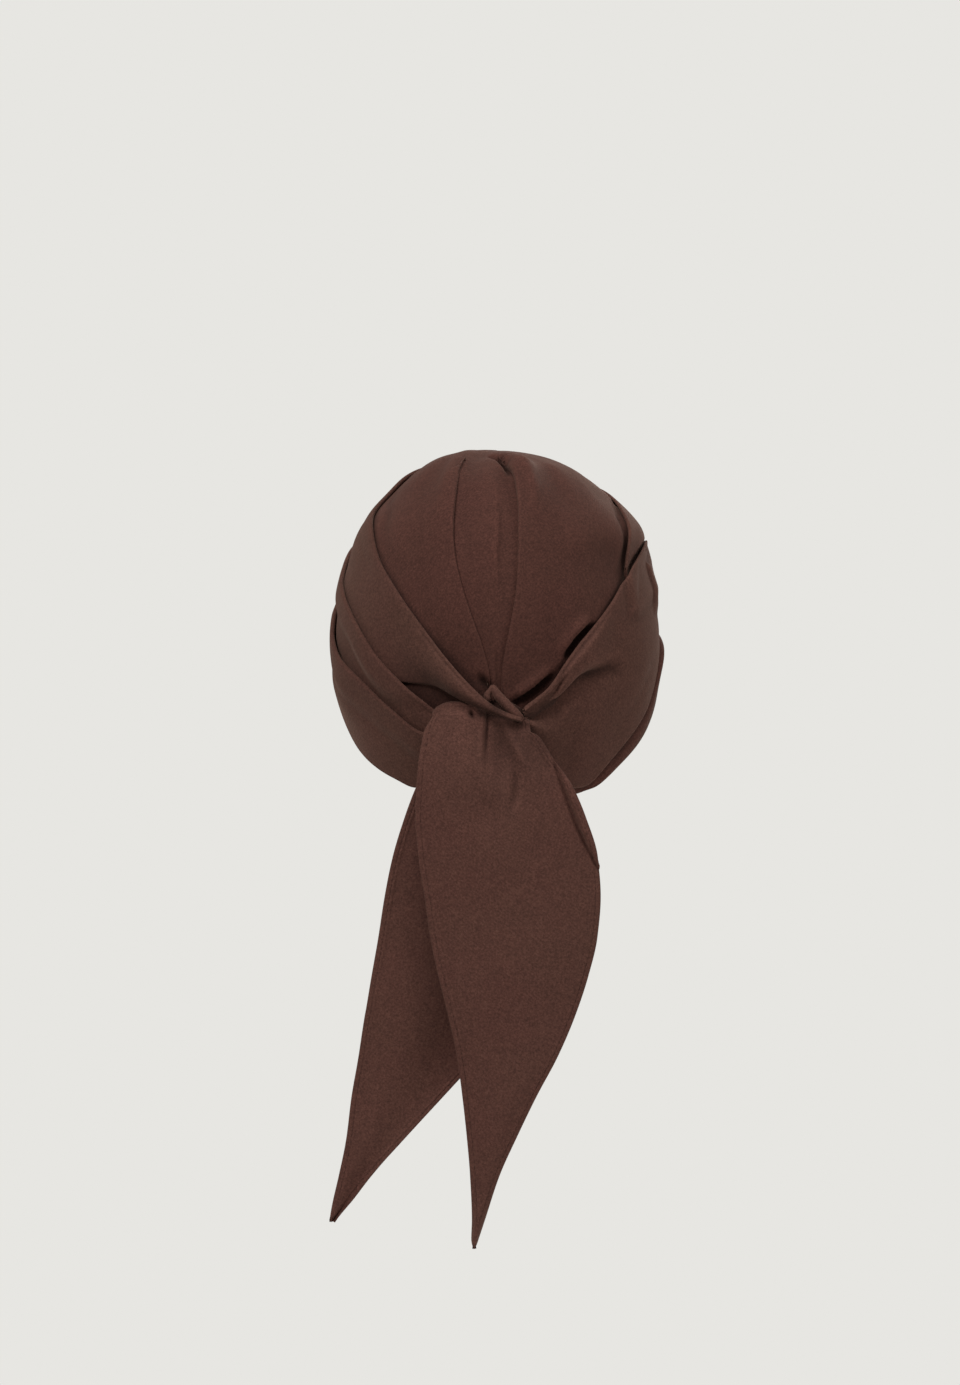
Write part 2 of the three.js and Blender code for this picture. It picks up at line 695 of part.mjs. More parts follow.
const narrowShares = [0, 0.25, 0.5, 0.75, 1];
const wideShares = [0, 0.14, 0.28, 0.42, 0.56, 0.7, 0.85, 1];
const group = new THREE.Group();
const pieces = [
  { name: 'crown', geometry: crownGeometry(), colour: '#4d322c' },
  { name: 'upper_pleat', geometry: pleatGeometry(upperPleat, narrowShares), colour: '#4f352d' },
  { name: 'middle_pleat', geometry: pleatGeometry(middlePleat, narrowShares), colour: '#4e362e' },
  { name: 'lower_pleat', geometry: pleatGeometry(lowerPleat, wideShares), colour: '#48332c' },
  { name: 'knot', geometry: knotGeometry(), colour: '#46302a' },
  { name: 'front_tail', geometry: frontTailGeometry(), colour: '#4e342e' },
  { name: 'back_tail', geometry: backTailGeometry(), colour: '#4a332e' },
];
pieces.forEach(({ name, geometry, colour }) => {
  const mesh = new THREE.Mesh(geometry, cloth(colour));
  mesh.name = name;
  group.add(mesh);
});

export default group;
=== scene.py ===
"""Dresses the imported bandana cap: soft crown, pleated wrap, knot, two hemmed tails, and a studio stage."""

import math

import bpy
import numpy as np
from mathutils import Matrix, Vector


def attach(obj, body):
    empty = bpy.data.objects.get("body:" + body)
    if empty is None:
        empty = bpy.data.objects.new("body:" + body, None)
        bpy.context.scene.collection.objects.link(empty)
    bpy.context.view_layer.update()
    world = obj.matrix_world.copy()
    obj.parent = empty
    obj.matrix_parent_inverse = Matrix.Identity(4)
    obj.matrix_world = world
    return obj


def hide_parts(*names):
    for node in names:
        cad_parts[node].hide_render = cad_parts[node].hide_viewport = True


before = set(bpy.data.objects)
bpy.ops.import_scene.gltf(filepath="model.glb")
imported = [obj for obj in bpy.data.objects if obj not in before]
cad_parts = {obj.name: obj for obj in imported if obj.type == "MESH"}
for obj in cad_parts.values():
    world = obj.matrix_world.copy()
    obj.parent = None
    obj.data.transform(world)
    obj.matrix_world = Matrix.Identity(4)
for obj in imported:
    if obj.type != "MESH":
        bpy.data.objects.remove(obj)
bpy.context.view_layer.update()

bl_info = {
    "name": "Bandana Cap",
    "version": (1, 0, 0),
    "blender": (4, 5, 0),
    "location": "3D View > Sidebar > Bandana Cap",
    "description": "Cloth, stitching and stage of a soft bandana cap with a pleated wrap and two tails",
    "category": "Object",
}

MM = 0.001


def table_of(columns, *rows):
    """A table with named columns: each row becomes a dictionary"""
    names = columns.split()
    return [dict(zip(names, row)) for row in rows]


# The head form, in millimetres: half width, half length, rise of the crown and drop of the nape
HEAD_HALF_WIDTH = 82.0
HEAD_HALF_LENGTH = 98.0
CROWN_RISE = 100.0
NAPE_DROP = 122.0

# Cloth thicknesses and the gap that the layers keep, in millimetres
CROWN_CLOTH = 1.5
PLEAT_CLOTH = 1.4
FOLD_THICKNESS = 2.5
LAYER_GAP = 0.5
LAY_ON_CROWN = CROWN_CLOTH + LAYER_GAP

# The knot's place on the head form, in degrees, and its sizes in millimetres
KNOT_ROUND = -5.0
KNOT_DOWN = 108.0
KNOT_STANDOFF = 6.3
KNOT_HALF_DEPTH = 4.0
TAIL_STANDOFF = 1.0
TAIL_CLOTH = 1.5
GATHER_REACH = 25.0
KNOT_SPAN = 7.0

# Degrees on the head form: "round" from the back over the left side to the front at 180, "down" from the top
UPPER_PLEAT_EDGES = table_of(
    "round top bottom",
    (-7.0, 106.7, 107.8),
    (-3.0, 105.6, 107.2),
    (0.5, 104.4, 106.4),
    (5.0, 101.8, 104.9),
    (11.0, 97.7, 103.4),
    (16.0, 94.2, 101.9),
    (22.0, 90.0, 100.4),
    (28.0, 84.5, 100.0),
    (35.0, 78.0, 99.6),
    (42.0, 72.1, 98.6),
    (50.0, 66.3, 94.0),
    (63.0, 55.3, 84.4),
    (78.0, 47.0, 76.5),
    (86.0, 41.6, 72.6),
    (97.0, 32.5, 68.0),
    (112.0, 26.6, 61.0),
    (145.0, 23.6, 51.5),
    (180.0, 25.2, 49.0),
    (215.0, 29.0, 54.0),
    (255.0, 37.0, 66.0),
    (275.0, 43.8, 71.0),
    (287.0, 49.2, 73.0),
    (295.0, 57.5, 75.0),
    (302.0, 68.0, 77.5),
)
MIDDLE_PLEAT_EDGES = table_of(
    "round top bottom",
    (12.0, 108.2, 111.6),
    (16.0, 107.6, 113.4),
    (22.0, 106.4, 114.8),
    (27.0, 103.6, 115.2),
    (37.0, 98.0, 111.0),
    (46.0, 92.6, 106.8),
    (56.0, 84.9, 102.2),
    (71.0, 75.6, 96.0),
    (87.0, 68.2, 85.4),
    (104.0, 60.2, 78.8),
    (145.0, 47.5, 70.4),
    (180.0, 45.0, 69.0),
    (215.0, 47.0, 69.0),
    (240.0, 53.0, 70.0),
    (258.0, 62.0, 73.0),
    (270.0, 66.6, 74.6),
    (280.0, 69.8, 76.0),
)
LOWER_PLEAT_EDGES = table_of(
    "round top bottom",
    (12.0, 112.0, 116.4),
    (16.0, 112.0, 119.2),
    (27.0, 111.3, 125.0),
    (38.0, 106.5, 126.8),
    (47.0, 102.2, 124.5),
    (57.0, 97.6, 121.7),
    (72.0, 91.6, 116.4),
    (83.0, 86.0, 110.4),
    (90.0, 80.8, 106.0),
    (105.0, 74.6, 97.0),
    (145.0, 66.4, 84.6),
    (180.0, 65.0, 82.0),
    (215.0, 63.6, 81.6),
    (240.0, 61.0, 81.0),
    (255.0, 59.6, 82.0),
    (266.0, 59.4, 84.6),
    (273.0, 59.6, 88.6),
    (280.0, 60.8, 97.6),
    (288.0, 63.0, 105.8),
    (294.0, 65.2, 109.6),
    (300.0, 67.8, 113.6),
    (310.0, 74.4, 120.0),
    (320.0, 81.9, 126.4),
    (330.0, 89.6, 127.0),
    (338.0, 95.8, 123.0),
    (343.0, 100.6, 117.0),
    (347.5, 102.8, 112.4),
    (351.5, 104.8, 108.4),
)
CROWN_RIM = table_of(
    "round rim",
    (0.0, 129.5),
    (20.0, 128.6),
    (38.0, 125.4),
    (57.0, 120.3),
    (72.0, 115.0),
    (90.0, 104.6),
    (105.0, 95.6),
    (145.0, 83.2),
    (180.0, 80.8),
    (215.0, 83.2),
    (255.0, 94.6),
    (273.0, 103.2),
    (288.0, 112.8),
    (303.0, 120.3),
    (316.0, 126.5),
    (330.0, 129.6),
    (360.0, 129.5),
)

# The crown's box pleat: the places of its two folds and how far each fold stands up, in millimetres
BOX_PLEAT_FOLDS = table_of(
    "down left right left_rise right_rise",
    (0.0, 60.0, 24.0, 0.0, 0.0),
    (14.0, 38.0, 4.0, 0.0, 0.0),
    (20.0, 31.8, -4.0, 0.0, 0.0),
    (25.0, 28.6, -8.0, 0.1, 2.4),
    (30.0, 26.0, -9.4, 0.4, 4.2),
    (36.0, 23.4, -9.8, 1.1, 3.6),
    (45.0, 20.7, -9.5, 2.2, 2.8),
    (57.0, 18.3, -8.3, 1.8, 2.0),
    (66.0, 15.8, -7.5, 1.3, 1.4),
    (74.0, 12.8, -6.7, 1.4, 1.3),
    (84.0, 8.5, -4.6, 1.5, 1.4),
    (92.0, 4.9, -2.6, 1.2, 1.3),
    (98.0, 2.8, -1.2, 0.8, 0.8),
    (130.0, 2.0, -2.0, 0.1, 0.1),
)

# Lines that the pleats' and the crown's relief follow, as places on the head form
KNOT_VALLEY = table_of(
    "round down",
    (318.0, 96.0),
    (323.0, 96.6),
    (327.0, 97.2),
    (331.5, 98.4),
    (335.6, 100.8),
    (339.5, 103.3),
    (344.0, 105.3),
    (351.5, 107.2),
)
SOFT_CREASE = table_of(
    "round down",
    (273.0, 86.0),
    (281.0, 91.6),
    (292.0, 97.2),
    (301.0, 105.2),
    (309.0, 111.0),
)

# The tails' outlines, in millimetres: how far below the top, and where the wearer's left and right edges are
FRONT_TAIL_OUTLINE = table_of(
    "drop left right",
    (0.0, 33.0, -16.0),
    (7.8, 36.2, -16.8),
    (18.0, 38.2, -22.6),
    (28.0, 39.9, -28.9),
    (38.4, 40.7, -36.4),
    (55.4, 41.4, -43.9),
    (75.4, 39.8, -49.9),
    (95.4, 36.8, -51.4),
    (115.4, 34.0, -49.8),
    (135.4, 29.8, -45.2),
    (155.4, 24.9, -38.6),
    (175.5, 20.6, -30.0),
    (195.5, 17.9, -19.4),
    (215.5, 15.7, -9.8),
    (235.6, 14.0, -0.8),
    (258.2, 13.1, 6.6),
    (267.4, 13.4, 9.6),
    (270.4, 13.0, 10.6),
    (271.8, 12.2, 11.4),
)
BACK_TAIL_OUTLINE = table_of(
    "drop left right",
    (0.0, 26.0, -12.0),
    (12.0, 34.0, -14.0),
    (24.8, 40.7, -16.0),
    (41.9, 47.2, -17.0),
    (62.0, 53.2, -18.0),
    (82.0, 57.2, -18.5),
    (102.0, 60.3, -18.5),
    (122.0, 63.8, -18.0),
    (137.0, 66.3, -16.0),
    (142.5, 67.3, -9.0),
    (162.6, 70.4, 9.5),
    (182.8, 73.9, 28.1),
    (203.0, 76.4, 46.7),
    (223.2, 80.5, 64.9),
    (233.9, 83.0, 73.6),
    (239.5, 84.1, 78.7),
    (243.2, 84.6, 81.8),
    (245.2, 84.1, 83.2),
)

# How far the cloth puffs out at the head's sides, in millimetres
SIDE_PUFF = table_of(
    "down left right",
    (0.0, 0.4, 0.0),
    (12.0, 1.6, 0.2),
    (23.0, 3.4, 1.6),
    (32.0, 3.0, 3.2),
    (41.0, 1.9, 2.8),
    (50.0, 3.2, 5.2),
    (54.5, 3.6, 6.2),
    (58.0, 3.1, 5.6),
    (61.5, 2.2, 2.4),
    (66.0, 0.6, -0.9),
    (70.0, 0.2, -1.9),
    (77.0, 0.0, -1.6),
    (90.0, 0.0, 0.0),
)

# Soft folds and hollows of the crown's cloth, as places on the head form with a strength from 0 to 1
CROWN_LEFT_RIDGE = table_of(
    "round down strength",
    (60.0, 8.0, 0.0),
    (42.0, 16.0, 0.7),
    (36.0, 24.0, 1.0),
    (30.0, 34.0, 0.9),
    (26.0, 44.0, 0.4),
    (24.0, 54.0, 0.0),
)
CROWN_TOP_HOLLOW = table_of(
    "round down strength",
    (30.0, 9.0, 0.0),
    (20.0, 17.0, 0.8),
    (16.0, 26.0, 0.8),
    (14.0, 38.0, 0.0),
)
CROWN_RIGHT_RIDGE = table_of(
    "round down strength",
    (-6.0, 12.0, 0.2),
    (-16.0, 20.0, 0.9),
    (-18.5, 28.0, 1.0),
    (-18.0, 40.0, 0.7),
    (-16.0, 54.0, 0.0),
)
CROWN_RIGHT_CREVICE = table_of(
    "round down strength",
    (6.0, 17.5, 0.5),
    (-3.0, 20.5, 1.0),
    (-7.5, 25.0, 1.0),
    (-8.6, 31.0, 0.2),
)
CROWN_FAR_RIDGE = table_of(
    "round down strength",
    (-52.0, 20.0, 0.0),
    (-46.0, 27.0, 0.8),
    (-43.0, 36.0, 0.8),
    (-40.0, 47.0, 0.0),
)
CROWN_SIDE_VALLEY = table_of(
    "round down strength",
    (-80.0, 43.0, 0.0),
    (-73.0, 48.0, 0.7),
    (-66.5, 52.5, 1.0),
    (-64.5, 57.0, 0.9),
    (-62.5, 61.5, 1.0),
    (-57.0, 67.5, 0.6),
    (-50.0, 73.0, 0.0),
)
CROWN_LEFT_HOLLOW = table_of(
    "round down strength",
    (82.0, 38.0, 0.4),
    (74.0, 44.0, 1.0),
    (62.0, 50.0, 0.8),
    (52.0, 59.0, 0.5),
    (40.0, 69.0, 0.2),
)
CROWN_SLOT = table_of(
    "round down strength",
    (-36.5, 84.4, 0.0),
    (-33.5, 86.4, 1.0),
    (-29.5, 89.2, 1.0),
    (-26.5, 91.8, 0.8),
    (-23.5, 94.0, 0.0),
)
CROWN_KNOT_SLOT = table_of(
    "round down strength",
    (-20.0, 97.6, 0.0),
    (-17.0, 99.2, 0.9),
    (-13.0, 101.6, 1.0),
    (-9.0, 103.4, 1.0),
    (-6.0, 104.6, 0.7),
)
CROWN_KNOT_DIMPLE = table_of(
    "round down strength",
    (7.5, 97.4, 0.0),
    (5.2, 99.4, 1.0),
    (3.2, 101.2, 0.8),
    (1.6, 102.8, 0.0),
)
CROWN_SEAM = table_of(
    "round down strength",
    (0.6, 91.0, 0.0),
    (0.5, 95.0, 1.0),
    (0.3, 100.0, 1.0),
    (0.0, 103.0, 0.6),
)

# The crown's folds, in millimetres. A fold that is "only_free" ends at the lower pleat's edge.
CROWN_SOFT_FOLDS = table_of(
    "line width height",
    (CROWN_LEFT_RIDGE, 5.0, 2.6),
    (CROWN_TOP_HOLLOW, 6.0, -1.8),
    (CROWN_RIGHT_RIDGE, 4.6, 3.0),
    (CROWN_FAR_RIDGE, 6.0, 1.0),
    (CROWN_LEFT_HOLLOW, 6.0, -1.5),
    (CROWN_RIGHT_CREVICE, 1.7, -4.2),
)
CROWN_DEEP_FOLDS = table_of(
    "line width height only_free",
    (CROWN_SIDE_VALLEY, 3.4, -1.8, False),
    (CROWN_SLOT, 6.5, 2.6, True),
    (CROWN_SLOT, 2.0, -6.4, False),
    (CROWN_KNOT_SLOT, 5.0, 2.4, True),
    (CROWN_KNOT_SLOT, 1.5, -5.6, False),
    (CROWN_KNOT_DIMPLE, 2.2, -2.6, False),
    (CROWN_SEAM, 0.9, -0.7, False),
)

# The cloth that crosses at the knot: centres and half sizes, in millimetres
STRAND = table_of(
    "at x y z wide deep",
    (0.0, 3.0, 98.6, -122.2, 1.5, 1.2),
    (0.25, 0.6, 101.8, -126.4, 2.2, 2.2),
    (0.55, -3.8, 105.0, -131.4, 2.5, 2.6),
    (0.8, -8.4, 106.4, -136.0, 2.4, 2.6),
    (1.0, -12.4, 104.4, -139.8, 2.0, 2.0),
)
CURL = table_of(
    "at x y z wide deep",
    (0.0, 2.4, 99.0, -122.4, 1.2, 1.1),
    (0.4, 3.9, 101.0, -125.0, 1.5, 1.4),
    (0.75, 5.4, 102.2, -127.6, 1.7, 1.6),
    (1.0, 4.6, 102.6, -130.0, 1.4, 1.4),
)
CORE = table_of(
    "at x y z wide deep",
    (0.0, 11.0, 98.2, -137.0, 6.4, 2.6),
    (0.5, -2.0, 98.6, -138.6, 8.8, 2.7),
    (1.0, -12.0, 97.9, -140.6, 6.4, 2.5),
)

# The tails: their tops' heights, the front one's shoulder edge, and how far each hangs out, in millimetres
FRONT_TAIL_TOP = -132.6
BACK_TAIL_TOP = -147.4
SHOULDER_EDGE = table_of(
    "across dip",
    (0.0, 5.2),
    (0.05, 2.6),
    (0.12, 0.9),
    (0.2, 0.0),
    (0.38, 0.2),
    (0.43, 1.6),
    (0.48, 3.8),
    (0.56, 4.0),
    (0.72, 4.4),
    (0.86, 6.4),
    (1.0, 9.4),
)
FRONT_TAIL_HANG = table_of("drop out", (0.0, 0.0), (40.0, 7.0), (81.0, 7.0), (270.0, 0.7))
BACK_TAIL_HANG = table_of("drop out", (0.0, 0.0), (50.0, 0.0), (150.0, -1.6), (243.0, -3.0))

# Where the front tail's folds run across it as it drops, in millimetres
FRONT_TAIL_CREASE = table_of("drop x", (0.0, 6.2), (12.0, 6.8), (38.0, 7.9))
FRONT_TAIL_RIDGE = table_of("drop x", (0.0, -1.5), (16.0, -6.0), (30.0, -14.0), (60.0, -24.0))
FRONT_TAIL_DENT = table_of("drop x", (25.0, -5.5), (35.0, -8.5), (45.0, -8.4), (55.0, -4.8))
FRONT_TAIL_STRIP = table_of("drop x", (26.7, -26.7), (61.2, -39.6), (82.6, -49.9), (100.0, -60.0))

# The columns and rows of each piece's grid, and where they are closer together
GRIDS = {
    "crown_cloth": (330, 145),
    "upper_pleat_cloth": (440, 96),
    "middle_pleat_cloth": (400, 76),
    "lower_pleat_cloth": (420, 112),
    "knot_core": (60, 40),
    "knot_strand": (90, 36),
    "knot_curl": (60, 28),
    "front_tail_cloth": (120, 260),
    "back_tail_cloth": (110, 230),
}
CROWN_ROW_SPREAD = table_of("row share", (0.0, 0.0), (0.06, 0.10), (0.34, 0.34), (0.9, 0.88), (1.0, 1.0))
UPPER_PLEAT_SPREAD = table_of(
    "share round",
    (0.0, -7.0),
    (0.2, 28.0),
    (0.5, 100.0),
    (0.78, 250.0),
    (1.0, 302.0),
)
MIDDLE_PLEAT_SPREAD = table_of("share round", (0.0, 12.0), (0.48, 100.0), (0.86, 250.0), (1.0, 280.0))
LOWER_PLEAT_SPREAD = table_of(
    "share round",
    (0.0, 12.0),
    (0.33, 100.0),
    (0.56, 255.0),
    (0.85, 330.0),
    (1.0, 351.5),
)

# The share of the front tail's rows in its rolled top edge, and the width that the tails' columns suit
TAIL_ROLL_SHARE = 0.08
TAIL_GRID_WIDTH = 60.0

# Shares of a pleat's grid rows, from its turned-under edge: where the rolled edge starts and ends
UNDER_END = 0.10
ARC_END = 0.28

# Finishing: vertices nearer than this many metres merge, and one face in so many votes for the outer side
SEAM_REACH = 0.00002
FACE_SAMPLE = 97

# The tails' thickness in metres, a stitch's radius in millimetres and its share of a step
TAIL_THICKNESS = 0.0012
STITCH_RADIUS = 0.21
STITCH_SHARE = 0.62

# The camera, 2 m behind the cap: its focal length and picture height in pixels, and its place in metres
FOCAL_PIXELS = 3773.6
PICTURE_HEIGHT_PIXELS = 1385.0
SENSOR_WIDTH = 36.0
CAMERA_PLACE = (0.009, 2.0, -0.1258)
LIGHT_AIM = (0.0, 0.0, -0.12)

# The studio lamps: place and size in metres, and share of the key power
LAMPS = table_of(
    "name at size share",
    ("key", (1.4, 1.4, 1.8), 1.0, 1.1),
    ("fill", (-2.2, 1.3, 0.1), 1.3, 0.54),
    ("top", (0.1, 0.6, 1.9), 1.1, 0.42),
    ("brow", (-0.6, -2.2, 0.9), 1.8, 0.75),
)


class BandanaCapCloth(bpy.types.PropertyGroup):
    """Sizes and colours of the crown's and the wrap's cloth"""

    # The crown's colour is the wrap's cloth made darker to offset the strong top light: painted shade
    crown_colour_with_painted_shade: bpy.props.FloatVectorProperty(
        name="Crown Colour", description="Colour of the crown's cloth", subtype="COLOR", size=3, min=0.0,
        max=1.0, default=(0.088, 0.0350, 0.0270),
    )
    pleat_colour: bpy.props.FloatVectorProperty(
        name="Pleat Colour", description="Colour of the wrap's cloth", subtype="COLOR", size=3, min=0.0,
        max=1.0, default=(0.106, 0.047, 0.036),
    )
    tail_colour: bpy.props.FloatVectorProperty(
        name="Tail Colour", description="Colour of the tails' cloth", subtype="COLOR", size=3, min=0.0,
        max=1.0, default=(0.116, 0.0505, 0.0395),
    )
    fold_radius: bpy.props.FloatProperty(
        name="Fold Radius", description="Radius of a pleat's folded upper edge", subtype="DISTANCE",
        unit="LENGTH", min=0.0006, max=0.003, default=0.00125,
    )
    under_turn: bpy.props.FloatProperty(
        name="Under Turn", description="Width of the cloth that is turned under at a pleat's upper edge",
        subtype="DISTANCE", unit="LENGTH", min=0.003, max=0.012, default=0.007,
    )
    cloth_thickness: bpy.props.FloatProperty(
        name="Cloth Thickness", description="Thickness of one layer of the cloth", subtype="DISTANCE",
        unit="LENGTH", min=0.0004, max=0.002, default=0.001,
    )


class BandanaCapTails(bpy.types.PropertyGroup):
    """Sizes of the tails' hems and stitches"""

    hem_width: bpy.props.FloatProperty(
        name="Hem Width", description="Distance of the stitches from the tails' edges", subtype="DISTANCE",
        unit="LENGTH", min=0.001, max=0.01, default=0.0026,
    )
    stitch_length: bpy.props.FloatProperty(
        name="Stitch Length", description="Length of one stitch with the space after it",
        subtype="DISTANCE", unit="LENGTH", min=0.0015, max=0.008, default=0.0032,
    )


class BandanaCapStage(bpy.types.PropertyGroup):
    """Colour and light of the stage"""

    backdrop_colour: bpy.props.FloatVectorProperty(
        name="Backdrop Colour", description="Colour behind the cap", subtype="COLOR", size=3, min=0.0,
        max=1.0, default=(0.799, 0.791, 0.760),
    )
    air_strength: bpy.props.FloatProperty(
        name="Air Strength", description="Strength of the even light from all sides", min=0.0, max=2.0,
        default=0.24,
    )
    key_power: bpy.props.FloatProperty(
        name="Key Power", description="Power of the main soft light, in watts", subtype="POWER",
        unit="POWER", min=0.0, max=500.0, default=30.0,
    )
    floor_height: bpy.props.FloatProperty(
        name="Floor Height", description="Height of the floor below the inside of the crown",
        subtype="DISTANCE", unit="LENGTH", min=-2.0, max=-0.45, default=-0.8,
    )


def smooth_step(value):
    share = np.clip(value, 0.0, 1.0)
    return share * share * (3.0 - 2.0 * share)


def rising(value, start, width):
    """From 0 at the start to 1 at a width past it"""
    return smooth_step((value - start) / width)


def falling(value, start, width):
    """From 1 at the start to 0 at a width past it"""
    return smooth_step(1.0 - (value - start) / width)


def bell(value, place, width):
    return np.exp(-(((value - place) / width) ** 2))


def between(value, start, end, fade):
    return smooth_step((value - start) / fade) * smooth_step((end - value) / fade)


def column(table, along, name):
    """A table's column as a smooth function of another column, without overshoot between its rows"""
    places = np.array([row[along] for row in table])
    values = np.array([row[name] for row in table])
    spans = np.diff(places)
    slopes = np.diff(values) / spans
    before = np.concatenate([slopes[:1], slopes])
    after = np.concatenate([slopes, slopes[-1:]])
    total = np.where(before * after > 0, before + after, 1.0)
    tangents = np.where(before * after > 0, 2 * before * after / total, 0.0)

    def value(place):
        place = np.clip(place, places[0], places[-1])
        i = np.clip(np.searchsorted(places, place, side="right") - 1, 0, len(spans) - 1)
        t = (place - places[i]) / spans[i]
        start = (1 + 2 * t) * (1 - t) ** 2 * values[i] + t * t * (3 - 2 * t) * values[i + 1]
        return start + t * (1 - t) * spans[i] * ((1 - t) * tangents[i] - t * tangents[i + 1])

    return value


def straight(table, along, name, place):
    """A table's column between its rows, in straight lines"""
    return np.interp(place, [row[along] for row in table], [row[name] for row in table])


def softened(function, start, end, width):
    """The same function with its small corners rounded off"""
    step = 0.25
    places = np.arange(start, end + step, step)
    reach = np.arange(-3 * width, 3 * width + step, step)
    weights = np.exp(-0.5 * (reach / width) ** 2)
    weights /= weights.sum()
    values = sum(w * function(places + r) for w, r in zip(weights, reach))
    ends = smooth_step(np.minimum(places - start, end - places) / (2 * width))
    values = function(places) * (1 - ends) + values * ends
    return lambda place: np.interp(place, places, values)


def form_angles(round_, down):
    """The place's two angles in radians and the head form's half height there, in millimetres"""
    return np.radians(round_), np.radians(down), np.where(down > 90.0, NAPE_DROP, CROWN_RISE)


def form_normal(round_, down):
    u, v, rise = form_angles(round_, down)
    across = np.sin(v) * np.sin(u) / HEAD_HALF_WIDTH
    back = np.sin(v) * np.cos(u) / HEAD_HALF_LENGTH
    normal = np.stack([across, back, np.cos(v) / rise], axis=-1)
    return normal / np.linalg.norm(normal, axis=-1, keepdims=True)


def form_point(round_, down, height):
    """Points at a height over the head form, in millimetres"""
    u, v, rise = form_angles(round_, down)
    across = HEAD_HALF_WIDTH * np.sin(v) * np.sin(u)
    back = HEAD_HALF_LENGTH * np.sin(v) * np.cos(u)
    base = np.stack([across, back, rise * np.cos(v) - CROWN_RISE], axis=-1)
    return base + form_normal(round_, down) * np.asarray(height)[..., None]


def down_scale(round_, down):
    """Millimetres on the head form for one degree of down"""
    u, v, rise = form_angles(round_, down)
    flat = np.hypot(HEAD_HALF_WIDTH * np.sin(u), HEAD_HALF_LENGTH * np.cos(u)) * np.cos(v)
    return np.hypot(flat, rise * np.sin(v)) * math.pi / 180


def round_scale(round_, down):
    """Millimetres on the head form for one degree of round"""
    u, v, _ = form_angles(round_, down)
    across = np.hypot(HEAD_HALF_WIDTH * np.cos(u), HEAD_HALF_LENGTH * np.sin(u))
    return across * np.sin(v) * math.pi / 180


def distance_to_knot(round_):
    return np.minimum(np.abs(round_ - KNOT_ROUND), np.abs(round_ - 360.0 - KNOT_ROUND))


def near_knot(round_):
    return falling(distance_to_knot(round_), 0.0, GATHER_REACH)


def over_knot(round_):
    return falling(distance_to_knot(round_), KNOT_SPAN, GATHER_REACH)


def ripple(round_, down, *waves):
    """Low swells of soft cloth: each wave is its height, its two frequencies and its phase"""
    total = np.zeros(np.broadcast(round_, down).shape)
    for height, across, along, phase in waves:
        total = total + height * np.sin(np.radians(across * round_ + along * down) + phase)
    return total


def fold_share(round_):
    """The folds are flatter on the wearer's right side"""
    return 1.0 - 0.2 * between(round_, 235.0, 318.0, 20.0) - 0.16 * between(round_, 240.0, 300.0, 14.0)


left_puff, right_puff = (
    softened(column(SIDE_PUFF, "down", name), 0.0, 140.0, 2.0) for name in ("left", "right")
)


def side_puff(round_, down):
    """How far the cloth stands off the head form at the sides"""
    across = np.sin(np.radians(round_))
    return np.where(across > 0, left_puff(down), right_puff(down)) * across**2


class Pleat:
    """One pleat of the wrap: a strip with a rolled upper edge, laid on the crown and the pleats under it"""

    fold_end = 6.0
    edge_margin = 1.5
    edge_ramp = 5.0
    edge_softness = 1.6

    def __init__(self, edges, under, lift, relief):
        self.start = edges[0]["round"]
        self.end = edges[-1]["round"]
        self.top = softened(column(edges, "round", "top"), self.start, self.end, self.edge_softness)
        self.bottom = softened(column(edges, "round", "bottom"), self.start, self.end, self.edge_softness)
        self.under = under
        self.lift = lift
        self.relief = relief

    def seat(self, round_, down):
        height = LAY_ON_CROWN + side_puff(round_, down)
        for pleat in self.under:
            height = np.maximum(height, pleat.clear_height(round_, down))
        return height

    def share(self, round_, down):
        top, bottom = self.top(round_), self.bottom(round_)
        return np.clip((down - top) / (bottom - top), 0.0, 1.0)

    def shape(self, round_, down):
        return self.lift(round_) + self.relief(round_, down, self.share(round_, down))

    def clear_height(self, round_, down):
        ramp, margin = self.edge_ramp, self.edge_margin
        inside = np.minimum.reduce(
            [
                smooth_step((self.bottom(round_) + margin + ramp - down) / ramp),
                smooth_step((down - self.top(round_) + margin + ramp) / ramp),
                smooth_step((self.end + margin + ramp - round_) / ramp),
                smooth_step((round_ - self.start + margin + ramp) / ramp),
            ]
        )
        folded = smooth_step((self.top(round_) + 2 * self.fold_end - down) / self.fold_end)
        thickness = PLEAT_CLOTH + (FOLD_THICKNESS * fold_share(round_) - PLEAT_CLOTH) * folded
        height = self.seat(round_, down) + np.maximum(0, self.shape(round_, down)) + thickness
        rest = LAY_ON_CROWN + side_puff(round_, down)
        return rest + inside * (height + LAYER_GAP - rest)


def along_line(table, width, fade):
    """How close a place is to a line on the head form, from 0 to 1"""
    start, end = table[0]["round"], table[-1]["round"]
    line = softened(column(table, "round", "down"), start, end, 1.0)

    def near(round_, down):
        ends = smooth_step((round_ - start + fade) / fade) * smooth_step((end + fade - round_) / fade)
        return bell(down, line(round_), width) * ends

    return near


CORE_FRONT = KNOT_STANDOFF + KNOT_HALF_DEPTH
LIFT_BESIDE_CORE = CORE_FRONT - FOLD_THICKNESS - LAY_ON_CROWN
LIFT_OVER_TAIL = CORE_FRONT + TAIL_STANDOFF + TAIL_CLOTH + 2 * LAYER_GAP - LAY_ON_CROWN

in_knot_valley = along_line(KNOT_VALLEY, 2.0, 8.0)
under_knot_valley = along_line(KNOT_VALLEY, 3.6, 8.0)
on_soft_crease = along_line(SOFT_CREASE, 3.0, 6.0)
lower_top = column(LOWER_PLEAT_EDGES, "round", "top")


